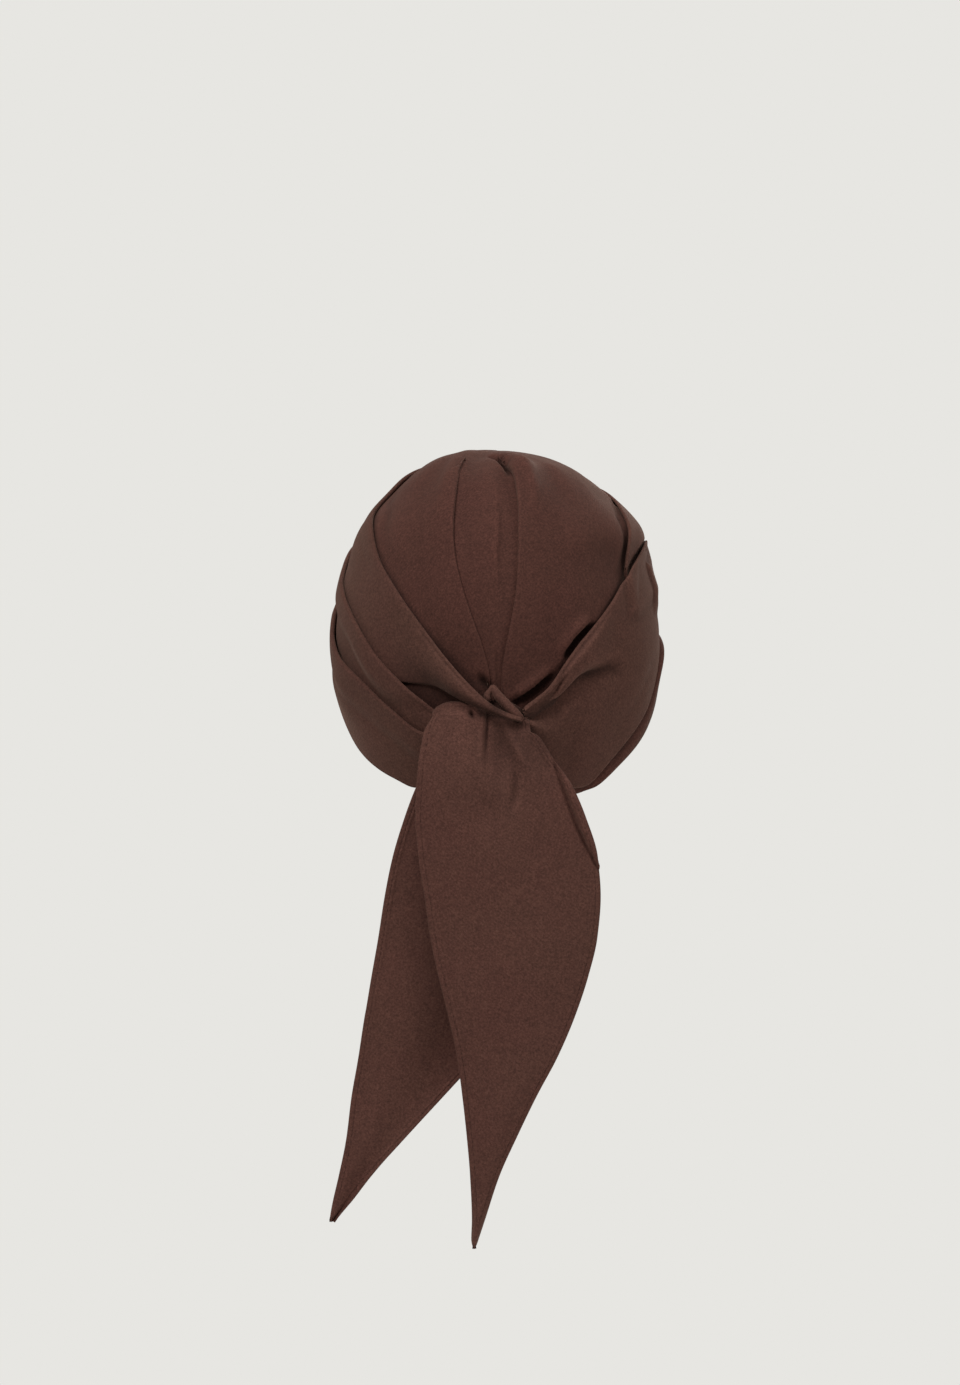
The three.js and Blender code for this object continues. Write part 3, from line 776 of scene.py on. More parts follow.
def pressed_under(round_, down):
    """How far the lower pleat's edge presses what lies under it, on the wearer's right side"""
    return -1.9 * smooth_step((down - lower_top(round_) + 1.8) / 3.0) * between(round_, 272.0, 306.0, 10.0)


def knot_swell(round_, share):
    return 1.6 * np.sin(math.pi * share) * near_knot(round_)


def upper_relief(round_, down, share):
    above = lower_top(round_) - down
    shoulder = 0.6 * smooth_step(above / 0.9) * smooth_step(1.0 - above / 9.0)
    shoulder = shoulder * between(round_, 238.0, 294.0, 12.0)
    swells = ripple(round_, down, (0.25, 5.0, 4.0, 0.4), (0.2, 9.0, -5.0, 1.7))
    return knot_swell(round_, share) + pressed_under(round_, down) + shoulder + swells


def middle_relief(round_, down, share):
    ridge = 0.8 * bell(share, 0.4, 0.22) * between(round_, 25.0, 110.0, 15.0)
    swells = ripple(round_, down, (0.2, 7.0, 5.0, 1.0), (0.15, 12.0, -6.0, 0.3))
    return knot_swell(round_, share) + ridge + swells


def lower_relief(round_, down, share):
    left = 0.6 * bell(share, 0.48, 0.2) * between(round_, 40.0, 110.0, 15.0)
    low_left = 2.6 * bell(down, 100.0, 8.0) * between(round_, 50.0, 125.0, 22.0)
    right = 1.3 * bell(share, 0.5, 0.35) * between(round_, 258.0, 330.0, 18.0)
    right = right * (1 - 0.5 * on_soft_crease(round_, down))
    valley = -2.4 * in_knot_valley(round_, down) * falling(round_, 326.0, 12.0)
    swells = ripple(round_, down, (0.3, 5.0, 4.0, 2.1), (0.2, 11.0, 7.0, 0.9))
    return knot_swell(round_, share) + left + low_left + right + valley + swells


def upper_lift(round_):
    """How far the upper pleat is lifted where it crosses the knot and on the wearer's right side"""
    return LIFT_OVER_TAIL * over_knot(round_) + 0.2 * between(round_, 250.0, 325.0, 22.0)


def no_lift(round_):
    return 0.0 * round_


def lower_lift(round_):
    """How far the lower pleat is lifted where it comes to the knot from the right"""
    lift = LIFT_BESIDE_CORE * near_knot(round_) + 0.2 * between(round_, 250.0, 325.0, 25.0)
    return np.where(round_ > 180.0, lift, 0.0)


upper_pleat = Pleat(UPPER_PLEAT_EDGES, [], upper_lift, upper_relief)
middle_pleat = Pleat(MIDDLE_PLEAT_EDGES, [upper_pleat], no_lift, middle_relief)
lower_pleat = Pleat(LOWER_PLEAT_EDGES, [upper_pleat, middle_pleat], lower_lift, lower_relief)

crown_rim = column(CROWN_RIM, "round", "rim")
left_fold, right_fold, left_rise, right_rise = (
    softened(column(BOX_PLEAT_FOLDS, "down", name), 0.0, 135.0, 2.0)
    for name in ("left", "right", "left_rise", "right_rise")
)


def add_grid(name):
    """Adds a piece's flat grid and returns it with each vertex's two shares, 0 to 1"""
    columns, rows = GRIDS[name]
    bpy.ops.object.select_all(action="DESELECT")
    bpy.ops.mesh.primitive_grid_add(x_subdivisions=columns, y_subdivisions=rows, size=1.0, calc_uvs=True)
    piece = bpy.context.active_object
    piece.name = name
    piece.data.name = name
    flat = np.empty(len(piece.data.vertices) * 3, dtype=np.float32)
    piece.data.vertices.foreach_get("co", flat)
    flat = flat.reshape(-1, 3).astype(np.float64)
    return piece, flat[:, 0] + 0.5, flat[:, 1] + 0.5


def lay_cloth(piece, points, lengths):
    """Moves a grid's vertices to their places and sets its UV map to lengths along the cloth, in metres"""
    mesh = piece.data
    mesh.vertices.foreach_set("co", (points * MM).astype(np.float32).ravel())
    corners = np.empty(len(mesh.loops), dtype=np.int32)
    mesh.loops.foreach_get("vertex_index", corners)
    mesh.uv_layers[0].data.foreach_set("uv", (lengths[corners] * MM).astype(np.float32).ravel())
    mesh.update()


def hollows(heights, name, reach):
    """How far each vertex of a piece's grid lies below the cloth around it, in millimetres"""
    grid = heights.reshape(-1, GRIDS[name][0] + 1)
    soft = grid.copy()
    for _ in range(reach):
        wide = np.pad(soft, 1, mode="edge")
        beside = wide[:-2, 1:-1] + wide[2:, 1:-1] + wide[1:-1, :-2] + wide[1:-1, 2:]
        soft = (beside + 4 * soft) / 8
    return (soft - grid).ravel()


def shade_folds(piece, shade):
    """Stores each vertex's painted shade, from -0.3 where a painted highlight lightens it to 1 deep in a fold
    """
    layer = piece.data.attributes.new("fold_shade", "FLOAT", "POINT")
    layer.data.foreach_set("value", np.clip(shade, -0.3, 1.0).astype(np.float32))


def select_alone(piece):
    bpy.ops.object.select_all(action="DESELECT")
    piece.select_set(True)
    bpy.context.view_layer.objects.active = piece


def edit_all(*steps):
    """Runs edit steps, each given with its settings, on the active piece's whole mesh"""
    bpy.ops.object.mode_set(mode="EDIT")
    bpy.ops.mesh.select_all(action="SELECT")
    for step, settings in steps:
        step(**settings)
    bpy.ops.object.mode_set(mode="OBJECT")


MERGE = (bpy.ops.mesh.remove_doubles, {"threshold": SEAM_REACH})
FLIP = (bpy.ops.mesh.flip_normals, {})
FACE_OUT = (bpy.ops.mesh.normals_make_consistent, {"inside": False})


def finish_cloth(piece, thickness, outwards, merge=True):
    """Merges the cloth's seams, points its faces outwards, gives it thickness and smooth shading"""
    select_alone(piece)
    edit_all(*([MERGE] if merge else []))
    faces = piece.data.polygons
    votes = 0
    for face in (faces[i] for i in range(0, len(faces), FACE_SAMPLE)):
        votes += 1 if face.normal.dot(outwards(face.center)) > 0 else -1
    if votes < 0:
        edit_all(FLIP)
    wall = piece.modifiers.new("Cloth Thickness", "SOLIDIFY")
    wall.thickness = thickness
    wall.offset = -1.0
    wall.use_even_offset = False
    bpy.ops.object.modifier_apply(modifier=wall.name)
    bpy.ops.object.shade_smooth()
    return piece


def from_head(centre):
    return Vector((centre.x, centre.y, centre.z + CROWN_RISE * MM))


def from_front(centre):
    return Vector((0.0, 1.0, 0.0))


def crown_rows(t):
    """Spreads the crown's rows, with more of them where the folds are"""
    return straight(CROWN_ROW_SPREAD, "row", "share", t)


def make_crown(settings):
    """The dome of cloth: two side panels folded over a centre panel by a box pleat down the back"""
    piece, s, t = add_grid("crown_cloth")
    rim_down = CROWN_RIM[0]["rim"]
    down_back = rim_down * crown_rows(t)
    mirrored = s > 0.5
    hand = np.where(mirrored, -1.0, 1.0)
    q = np.where(mirrored, 1.0 - s, s) * 2.0
    centre_end, under_end, lip_end = 0.13, 0.16, 0.22
    middle = (left_fold(down_back) + right_fold(down_back)) / 2
    half = (left_fold(down_back) - right_fold(down_back)) / 2
    rise = np.where(mirrored, right_rise(down_back), left_rise(down_back))
    scale = round_scale(0.0, np.maximum(down_back, 8.0))
    lip = smooth_step(rise / 1.1) / scale
    turn = np.minimum(5.0 * smooth_step(rise / 0.8) / scale, 0.45 * half)
    in_centre = np.clip(q / centre_end, 0, 1)
    in_under = np.clip((q - centre_end) / (under_end - centre_end), 0, 1)
    angle = math.pi * np.clip((q - under_end) / (lip_end - under_end), 0, 1)
    in_panel = np.clip((q - lip_end) / (1 - lip_end), 0, 1)
    offset = np.select(
        [q < centre_end, q < under_end, q < lip_end],
        [
            (half + turn) * in_centre,
            half + turn - (turn - lip) * in_under,
            half + lip * (1 - np.sin(angle)),
        ],
        half + lip + (180.0 - half - lip) * in_panel**1.5,
    )
    round_ = middle * (1 - smooth_step(in_panel)) + hand * offset
    rim = crown_rim(np.mod(round_, 360.0))
    down = crown_rows(t) * (rim_down + (rim - rim_down) * smooth_step(np.abs(round_) / 60.0))
    distance = np.maximum(0.0, offset - half) * round_scale(0.0, np.maximum(down, 8.0))
    crest = np.where(mirrored, 2.5, 3.5)
    top_height = CROWN_CLOTH + rise * smooth_step(1 - (distance - crest) / 20.0)
    sunk = 0.35 * rise
    height = np.select(
        [q < centre_end, q < under_end, q < lip_end],
        [
            CROWN_CLOTH - sunk * smooth_step(in_centre * 1.6),
            CROWN_CLOTH - sunk,
            CROWN_CLOTH - sunk + (top_height - CROWN_CLOTH + sunk) * (1 - np.cos(angle)) / 2,
        ],
        top_height,
    )
    height = height + crown_relief(round_, down) + side_puff(round_, down)
    lengths = np.stack([offset * 1.45 * hand, down * 1.7], axis=-1)
    lay_cloth(piece, form_point(round_, down, height), lengths)
    # Painted shade in the crown's hollows, under the wrap and just above its edges, and behind the knot
    shade_folds(piece, 0.8 * hollows(height, "crown_cloth", 30) + crown_cover(round_, down))
    return finish_cloth(piece, settings.cloth_thickness, from_head)


def polyline_relief(round_, down, line, width, height):
    """A soft ridge or hollow of one width along a line, its height scaled by each place's strength"""
    total = np.zeros(round_.shape)
    best = np.full(round_.shape, 1e9)
    scale_round, scale_down = round_scale(round_, np.maximum(down, 10.0)), down_scale(round_, down)
    for a, b in zip(line[:-1], line[1:]):
        ax, ay = (a["round"] - round_) * scale_round, (a["down"] - down) * scale_down
        bx, by = (b["round"] - round_) * scale_round, (b["down"] - down) * scale_down
        dx, dy = bx - ax, by - ay
        t = np.clip(-(ax * dx + ay * dy) / np.maximum(dx * dx + dy * dy, 1e-9), 0, 1)
        apart = np.hypot(ax + t * dx, ay + t * dy)
        strength = a["strength"] + (b["strength"] - a["strength"]) * t
        nearer = apart < best
        total = np.where(nearer, height * strength * bell(apart, 0.0, width), total)
        best = np.minimum(best, apart)
    return total


def crown_relief(round_, down):
    """The crown's puff between the wrap's folds, its soft folds and its hollows beside the wrap"""
    signed = np.where(round_ > 180.0, round_ - 360.0, round_)
    wrapped = np.where(signed < 0, signed + 360.0, signed)
    lower_edge = lower_pleat.top(np.clip(wrapped, 285.0, 351.0))
    right_edge = np.minimum(
        upper_pleat.top(np.clip(wrapped, 200.0, 302.0)),
        np.where(wrapped > 285.0, lower_edge, 200.0),
    )
    edge = np.where(wrapped < 200.0, upper_pleat.top(np.clip(wrapped, 0.0, 200.0)), right_edge)
    above = edge - down
    free = smooth_step((lower_edge - down) / 2.6)
    puff = smooth_step(above / 45.0) * smooth_step(down / 30.0)
    swells = ripple(signed, down, (0.25, 6.0, 3.0, 0.5), (0.18, 9.0, -7.0, 2.0), (0.14, 14.0, 5.0, 4.0))
    soft = puff + swells * smooth_step(down / 25.0)
    for fold in CROWN_SOFT_FOLDS:
        soft = soft + polyline_relief(signed, down, fold["line"], fold["width"], fold["height"])
    near = np.zeros(round_.shape)
    for fold in CROWN_DEEP_FOLDS:
        relief = polyline_relief(signed, down, fold["line"], fold["width"], fold["height"])
        near = near + (relief * free if fold["only_free"] else relief)
    shoulder = smooth_step(above / 2.4) * smooth_step(1.0 - above / 13.0)
    shoulder = shoulder * between(wrapped, 236.0, 292.0, 14.0)
    hem = lower_pleat.bottom(np.clip(wrapped, 236.0, 351.0))
    stand = 3.2 + 2.0 * bell(down, 92.0, 6.0) * between(wrapped, 244.0, 290.0, 12.0)
    flare = stand * smooth_step((down - hem + 0.6) / 4.6) * between(wrapped, 238.0, 332.0, 16.0)
    pressed = pressed_under(wrapped, down) * smooth_step((90.0 - down) / 10.0)
    dent = -2.8 * under_knot_valley(wrapped, down) * (1 - free) * falling(wrapped, 328.0, 12.0)
    relief = smooth_step(above / 9.0) * soft + near + 1.3 * shoulder
    return relief + pressed + dent + flare + 0.7 * smooth_step(1.0 - down / 34.0)


def crown_cover(round_, down):
    """How much the wrap shades the crown under it and just above its edges"""
    wrapped = np.mod(round_, 360.0)
    from_back = np.abs(np.where(round_ > 180, round_ - 360, round_))
    above = 2.2 - 1.8 * between(wrapped, 236.0, 300.0, 12.0)
    cover = np.zeros(round_.shape)
    for pleat in (upper_pleat, middle_pleat, lower_pleat):
        inside = between(wrapped, pleat.start - 6.0, pleat.end + 4.0, 6.0)
        cover = np.maximum(cover, inside * smooth_step((down - pleat.top(wrapped) + above) / 3.0))
    behind = between(down, 104.0, 117.0, 4.0) * smooth_step(1 - from_back / 16.0)
    hem = lower_pleat.bottom(np.clip(wrapped, 12.0, 351.0))
    past_hem = smooth_step((down - hem + 1.0) / 3.0)
    return 0.75 * np.maximum(cover, behind) * (1 - 0.7 * past_hem * between(wrapped, 236.0, 335.0, 8.0))


def rolled_gather(start, fade, most):
    """Draws a pleat's cloth together into one round roll as it nears the knot from the left"""

    def gather(round_, away, wide, lift, plain):
        tight = falling(round_, start, fade)
        bulge = np.minimum(0.5 * wide, most)
        rolled = bulge * np.sqrt(np.clip(1 - (2 * away / wide - 1) ** 2, 0.0, 1.0))
        return plain * (1 - tight) + rolled * tight

    return gather


upper_gather = rolled_gather(14.0, 26.0, 5.2)
middle_gather = rolled_gather(18.0, 22.0, 3.0)
knot_valley_down = softened(column(KNOT_VALLEY, "round", "down"), 318.0, 351.5, 1.0)


def lower_gather(round_, away, wide, lift, plain):
    """The lower pleat near the knot: a round roll along its edge, a deep valley, and the full body below"""
    tight = rising(round_, 314.0, 16.0)
    top = lower_pleat.top(round_)
    bottom = lower_pleat.bottom(round_)
    valley = np.clip((knot_valley_down(round_) - top) / (bottom - top), 0.12, 0.6) * wide
    half = valley / 2
    bulge = np.minimum(half, 5.6)
    roll = 0.3 * lift + bulge * np.sqrt(np.clip(1 - np.abs((away - half) / half) ** 3.2, 0.0, 1.0))
    roll = roll - 2.6 * bell(away, 0.46 * valley, 0.9) * rising(round_, 335.0, 7.0)
    past = away - valley
    rest = np.maximum(wide - valley, 1.0)
    rise = smooth_step(past / np.minimum(9.0, 0.5 * rest)) ** 0.8
    full = PLEAT_CLOTH + lift + 2.4 * np.sin(math.pi * np.clip(past / rest, 0.0, 1.0)) ** 0.7
    floor = 0.2
    body = floor + (full - floor) * rise
    gathered = np.where(past < 0, np.maximum(roll, floor), body)
    left = falling(round_, 16.0, 22.0)
    shown = plain + lift
    return shown * (1 - tight) + gathered * tight - lift + 1.2 * left * np.sin(math.pi * away / wide)


def gather_shade(round_, away, wide, name):
    """Shade under the upper pleat's roll and in the small pit beside the strand"""
    if name != "upper_pleat_cloth":
        return np.zeros(round_.shape)
    low = 0.8 * smooth_step((away / wide - 0.42) / 0.45) * falling(round_, 20.0, 24.0)
    pit = 0.9 * bell(away, 0.0, 2.4) * bell(round_, 0.5, 2.6)
    return low + pit


def painted_light_and_shade(round_, down, from_hem):
    """Painted shade on the upper left pleats, painted light low on the left and a painted highlight along the
    hem on the right
    """
    painted_upper_left_shade = 0.10 * between(round_, 18.0, 95.0, 20.0) * smooth_step((108.0 - down) / 8.0)
    # Painted light low on the left, where the lamps leave the cloth too dark
    low_left = 0.16 * between(round_, 25.0, 110.0, 20.0) * rising(down, 106.0, 8.0)
    painted_hem_highlight = 0.3 * smooth_step(1.0 - from_hem / 1.5) * between(round_, 240.0, 345.0, 12.0)
    return painted_upper_left_shade - low_left - painted_hem_highlight


def make_pleat(name, pleat, settings, spread, gather):
    """A pleat's cloth: turned under, rolled over its upper edge and laid down to its lower edge"""
    piece, s, t = add_grid(name)
    round_ = straight(spread, "share", "round", s)
    top, bottom = pleat.top(round_), pleat.bottom(round_)
    slope = (pleat.top(round_ + 0.5) - pleat.top(round_ - 0.5)) * down_scale(round_, top)
    slant = 1.0 / np.sqrt(1.0 + (slope / round_scale(round_, top)) ** 2)
    degrees_for_mm = 1.0 / (down_scale(round_, top) * np.maximum(slant, 0.5))
    wide = (bottom - top) / degrees_for_mm
    radius = np.minimum(settings.fold_radius / MM * fold_share(round_), 0.3 * wide)
    turn = np.minimum(settings.under_turn / MM, 0.55 * wide)
    angle = math.pi * np.clip((t - UNDER_END) / (ARC_END - UNDER_END), 0, 1)
    away_under = turn + (radius - turn) * np.clip(t / UNDER_END, 0, 1)
    away_arc = radius - radius * np.sin(angle)
    away_body = radius + (wide - radius) * np.clip((t - ARC_END) / (1 - ARC_END), 0, 1) ** 1.2
    away = np.where(t < UNDER_END, away_under, np.where(t < ARC_END, away_arc, away_body))
    down = top + away * degrees_for_mm
    seat = pleat.seat(round_, down)
    shape = pleat.shape(round_, down)
    settle = smooth_step((away - radius) / 11.0)
    flat_height = 2 * radius * (1 - settle) + PLEAT_CLOTH * settle
    body_height = gather(round_, away, wide, pleat.lift(round_), flat_height)
    body_start = smooth_step((away - radius) / 1.5)
    body = 2 * radius * (1 - body_start) + body_height * body_start
    arc = np.where(t < UNDER_END, 0.0, radius - radius * np.cos(angle))
    height = np.where(t >= ARC_END, body, arc) + seat + shape
    turned_back = np.where(t < ARC_END, -2.0 * (1 - t / ARC_END) * turn, 0.0)
    lengths = np.stack([round_ * 1.55, away + turned_back], axis=-1)
    lay_cloth(piece, form_point(round_, down, height), lengths)
    lie = np.where(t < ARC_END, 2 * radius + seat + shape, height)
    # Painted shade in the pleat's hollows and on its turned-under edge
    shade = 0.8 * hollows(lie, name, 24) + smooth_step(1 - t / UNDER_END)
    shade = shade + gather_shade(round_, away, wide, name) + painted_light_and_shade(round_, down, wide - away)
    shade_folds(piece, shade)
    return finish_cloth(piece, settings.cloth_thickness, from_head, merge=False)


KNOT_CENTRE = form_point(np.float64(KNOT_ROUND), np.float64(KNOT_DOWN), KNOT_STANDOFF)


def make_roll(name, path):
    """A rolled band of cloth along a path. Each row of the path gives a centre and two half sizes."""
    piece, s, t = add_grid(name)
    curves = {key: column(path, "at", key) for key in ("x", "y", "z", "wide", "deep")}

    def centre_at(place):
        return np.stack([curves[key](place) for key in ("x", "y", "z")], axis=-1)

    tangent = centre_at(s + 0.01) - centre_at(s - 0.01)
    tangent /= np.linalg.norm(tangent, axis=-1, keepdims=True)
    out = np.array([0.0, 1.0, 0.0]) - tangent * tangent[:, 1:2]
    out /= np.linalg.norm(out, axis=-1, keepdims=True)
    side = np.cross(tangent, out)
    ends = np.sqrt(np.clip(1 - (2 * s - 1) ** 16, 0.0, 1.0))
    angle = 2 * math.pi * t
    crease = 1 - 0.10 * bell(np.mod(t, 1.0), 0.33, 0.05)
    across = side * (np.cos(angle) * curves["wide"](s) * ends)[:, None]
    outwards = out * (np.sin(angle) * curves["deep"](s) * ends * crease)[:, None]
    corners = np.array([[row["x"], row["y"], row["z"]] for row in path])
    length = np.linalg.norm(np.diff(corners, axis=0), axis=1).sum()
    lay_cloth(piece, centre_at(s) + (across + outwards), np.stack([s * length, t * 6.0], axis=-1))
    # Painted shade: the knot's core is darkened through, and each roll is darker on its back half
    core_painted_shade = 0.85 if name == "knot_core" else 0.0
    shade_folds(piece, core_painted_shade + 0.25 * (1 - np.sin(angle)))
    edit_all(MERGE, FACE_OUT)
    bpy.ops.object.shade_smooth()
    return piece


def make_knot():
    """The knot: a tight core and the strands that cross it, joined in one piece"""
    parts = [make_roll("knot_core", CORE), make_roll("knot_strand", STRAND), make_roll("knot_curl", CURL)]
    bpy.ops.object.select_all(action="DESELECT")
    for part in parts:
        part.select_set(True)
    bpy.context.view_layer.objects.active = parts[0]
    bpy.ops.object.join()
    parts[0].name = "knot_cloth"
    return parts[0]


def tail_columns(s, hem):
    """Spreads the columns so that the hem at each edge has enough of them"""
    edge = np.clip(1.6 * hem / TAIL_GRID_WIDTH, 0.02, 0.3)
    share = 0.16
    middle = edge + (s - share) / (1 - 2 * share) * (1 - 2 * edge)
    return np.where(s < share, s / share * edge, np.where(s > 1 - share, 1 - (1 - s) / share * edge, middle))


def hem_relief(distance, hem):
    """A hem's double thickness with the dip of its stitch line, by distance from the edge"""
    fold = 0.32 * smooth_step(distance / 0.5) * smooth_step(1 - (distance - hem - 1.1) / 1.0)
    dip = -0.28 * bell(distance, hem, 0.32)
    return fold + dip


def tail_across(outline, drop, across):
    """A place across a tail, and its distance from the nearer edge, in millimetres"""
    left = column(outline, "drop", "left")(drop)
    right = column(outline, "drop", "right")(drop)
    x = left + across * (right - left)
    return x, np.minimum(x - right, left - x)


def front_tail_point(drop, across, hem):
    """The front tail's cloth: its folds and dents under the knot, its lower lobe and the strip folded back"""
    x, edge = tail_across(FRONT_TAIL_OUTLINE, drop, across)
    dip = column(SHOULDER_EDGE, "across", "dip")(across)
    hang = softened(column(FRONT_TAIL_HANG, "drop", "out"), 0.0, 270.0, 8.0)(drop)
    z = FRONT_TAIL_TOP - drop - dip * smooth_step(1 - drop / 17.0)
    face = KNOT_CENTRE[1] + KNOT_HALF_DEPTH + TAIL_STANDOFF + TAIL_CLOTH
    drape = 4.0 * np.sin(math.pi * across) * smooth_step(drop / 54.0)
    crease_x = straight(FRONT_TAIL_CREASE, "drop", "x", drop)
    crease = -3.8 * bell(x, crease_x - 0.8, 1.1) * falling(drop, 10.0, 30.0)
    step = -3.4 * smooth_step((crease_x - x) / 3.0) * smooth_step((x + 12.0) / 12.0)
    step = step * falling(drop, 16.0, 32.0)
    ridge_x = straight(FRONT_TAIL_RIDGE, "drop", "x", drop)
    ridge = 2.3 * bell(x, ridge_x, 3.0) * smooth_step(drop / 6.0) * falling(drop, 20.0, 25.0)
    dent_x = straight(FRONT_TAIL_DENT, "drop", "x", drop)
    dent = -2.0 * bell(x, dent_x, 2.2) * bell(drop, 42.0, 11.0)
    hollow = -2.6 * bell(x, 4.5, 8.0) * bell(drop, 52.0, 12.0)
    lobe = 2.8 * bell(x, 18.0, 8.0) * smooth_step(drop / 5.0) * falling(drop, 20.0, 40.0)
    strip_x = straight(FRONT_TAIL_STRIP, "drop", "x", drop)
    strip = -1.5 * bell(x, strip_x - 0.5, 1.0) * between(drop, 22.0, 92.0, 12.0)
    strip_lip = bell(x, strip_x - 3.0, 1.5) * between(drop, 28.0, 84.0, 12.0)
    curl = 2.2 * smooth_step((strip_x - x + 1.0) / 6.0) * bell(drop, 58.0, 26.0)
    hole = -3.6 * np.exp(-((x - 13.2) ** 2 + (drop - 3.4) ** 2) / 2.4)
    wave = 0.5 * np.sin(drop / 21.0 + 0.8) * np.cos(across * 3.2) + 0.35 * np.sin(drop / 11.0 + across * 4.0)
    depth = face + hole + hang + drape + crease + step + ridge + dent + hollow + lobe
    depth = depth + strip + strip_lip + curl
    depth = depth + wave * smooth_step(drop / 40.0) + hem_relief(edge, hem)
    return x, np.maximum(depth, face - 6.4), z


def back_tail_point(drop, across, hem):
    """The back tail's cloth: a slow bow across it and low waves"""
    x, edge = tail_across(BACK_TAIL_OUTLINE, drop, across)
    hang = softened(column(BACK_TAIL_HANG, "drop", "out"), 0.0, 243.0, 8.0)(drop)
    bow = 3.0 * np.sin(2 * math.pi * across) * smooth_step(drop / 49.0) * (1 - 0.6 * drop / 243.0)
    wave = 0.4 * np.sin(drop / 17.0 + across * 3.0) + 0.3 * np.sin(drop / 9.5 - across * 2.0)
    depth = KNOT_CENTRE[1] + 1.0 + hang + bow + wave * smooth_step(drop / 40.0) + hem_relief(edge, hem)
    return x, depth, BACK_TAIL_TOP - drop


def make_tail(name, outline, surface, tails, roll_back):
    """A hemmed tongue of cloth that hangs from the knot. A roll turns its top edge back by that radius."""
    piece, s, t = add_grid(name)
    hem = tails.hem_width / MM
    rolled, body = np.zeros_like(t), t
    if roll_back > 0:
        rolled = np.clip(1 - t / TAIL_ROLL_SHARE, 0, 1)
        body = np.clip((t - TAIL_ROLL_SHARE) / (1 - TAIL_ROLL_SHARE), 0, 1)
    drop = outline[-1]["drop"] * body**1.1
    x, depth, z = surface(drop, tail_columns(s, hem), hem)
    if roll_back > 0:
        angle = rolled * math.pi * 0.95
        back = np.maximum(depth - roll_back * (1 - np.cos(angle)), KNOT_CENTRE[1] - 1.0)
        depth = np.where(rolled > 0, back, depth)
        z = np.where(rolled > 0, z + roll_back * np.sin(angle), z)
    lay_cloth(piece, np.stack([x, depth, z], axis=-1), np.stack([x, z], axis=-1))
    # Painted shade in the tail's hollows, on its rolled-back top edge, under the knot's roll and beside the
    # crease
    shade = 0.55 * hollows(depth, name, 14) + 0.8 * smooth_step(rolled * 2.0)
    if roll_back > 0:
        painted_shade_under_roll = smooth_step(1 - drop / 3.6) * between(x, -14.0, 12.0, 4.0)
        painted_lee_shade = 0.45 * smooth_step((6.0 - x) / 5.0) * bell(drop, 16.0, 24.0) * smooth_step((x + 34.0) / 12.0)
        shade = shade + painted_shade_under_roll + painted_lee_shade
    shade_folds(piece, shade)
    return finish_cloth(piece, TAIL_THICKNESS, from_front, merge=False)


def stitch_ends(outline, surface, tails, start):
    """The two ends of each stitch along both hems of a tail, in millimetres"""
    hem = tails.hem_width / MM
    step = tails.stitch_length / MM
    drops = np.linspace(start, outline[-1]["drop"] - 13.0, 1200)
    places = []
    for side in (0.0, 1.0):
        first_x, _, _ = surface(drops, np.zeros_like(drops), hem)
        last_x, _, _ = surface(drops, np.ones_like(drops), hem)
        inset = hem / np.maximum(np.abs(last_x - first_x), 2.5 * hem)
        line = np.stack(surface(drops, np.abs(side - inset), hem), axis=-1)
        run = np.concatenate([[0.0], np.cumsum(np.linalg.norm(np.diff(line, axis=0), axis=1))])
        marks = np.arange(0.0, run[-1] - step, step)
        ends = []
        for ahead in (0.0, step * STITCH_SHARE):
            ends.append(np.stack([np.interp(marks + ahead, run, line[:, k]) for k in range(3)], axis=-1))
        places.append(np.stack(ends, axis=1))
    return np.concatenate(places)


def make_stitches(name, outline, surface, tails, start):
    """Topstitching along both hems of a tail: one rounded stitch repeated along each line"""
    ring, rings = 6, 5
    shares = np.linspace(0.0, 1.0, rings)
    radii = STITCH_RADIUS * np.sqrt(np.clip(1 - (2 * shares - 1) ** 2, 0.05, 1.0))
    vertices, faces = [], []
    for first, last in stitch_ends(outline, surface, tails, start):
        along = last - first
        side = np.cross(along, [0.0, 1.0, 0.0])
        side /= np.linalg.norm(side)
        base = len(vertices)
        for share, radius in zip(shares, radii):
            centre = first + along * share + np.array([0.0, -0.16 + 0.2 * math.sin(math.pi * share), 0.0])
            for k in range(ring):
                a = 2 * math.pi * k / ring
                outwards = np.array([0.0, radius * math.sin(a), 0.0])
                vertices.append(centre + side * radius * math.cos(a) + outwards)
        for i in range(rings - 1):
            here, there = base + i * ring, base + (i + 1) * ring
            for k in range(ring):
                n = (k + 1) % ring
                faces.append((here + k, here + n, there + n, there + k))
        faces.append(tuple(base + k for k in reversed(range(ring))))
        faces.append(tuple(base + (rings - 1) * ring + k for k in range(ring)))
    mesh = bpy.data.meshes.new(name)
    mesh.from_pydata((np.array(vertices) * MM).tolist(), [], faces)
    mesh.update()
    piece = bpy.data.objects.new(name, mesh)
    bpy.context.collection.objects.link(piece)
    select_alone(piece)
    edit_all(FACE_OUT)
    bpy.ops.object.shade_smooth()
    return piece


def set_inputs(tree, made, inputs):
    """Sets a shader node's inputs, each to a value or to a link from another node's output"""
    for place, value in inputs.items():
        if isinstance(value, bpy.types.NodeSocket):
            tree.links.new(value, made.inputs[place])
        else:
            made.inputs[place].default_value = value


def node(tree, kind, label, inputs, **settings):
    """Adds a labelled shader node with its settings and inputs"""
    made = tree.nodes.new(kind)
    made.label = label
    for name, value in settings.items():
        setattr(made, name, value)
    set_inputs(tree, made, inputs)
    return made


def ramp(tree, label, source, stops):
    made = node(tree, "ShaderNodeValToRGB", label, {"Fac": source})
    elements = made.color_ramp.elements
    while len(elements) < len(stops):
        elements.new(0.5)
    for element, (place, colour) in zip(elements, stops):
        element.position = place
        element.color = (*colour, 1.0)
    return made.outputs["Color"]


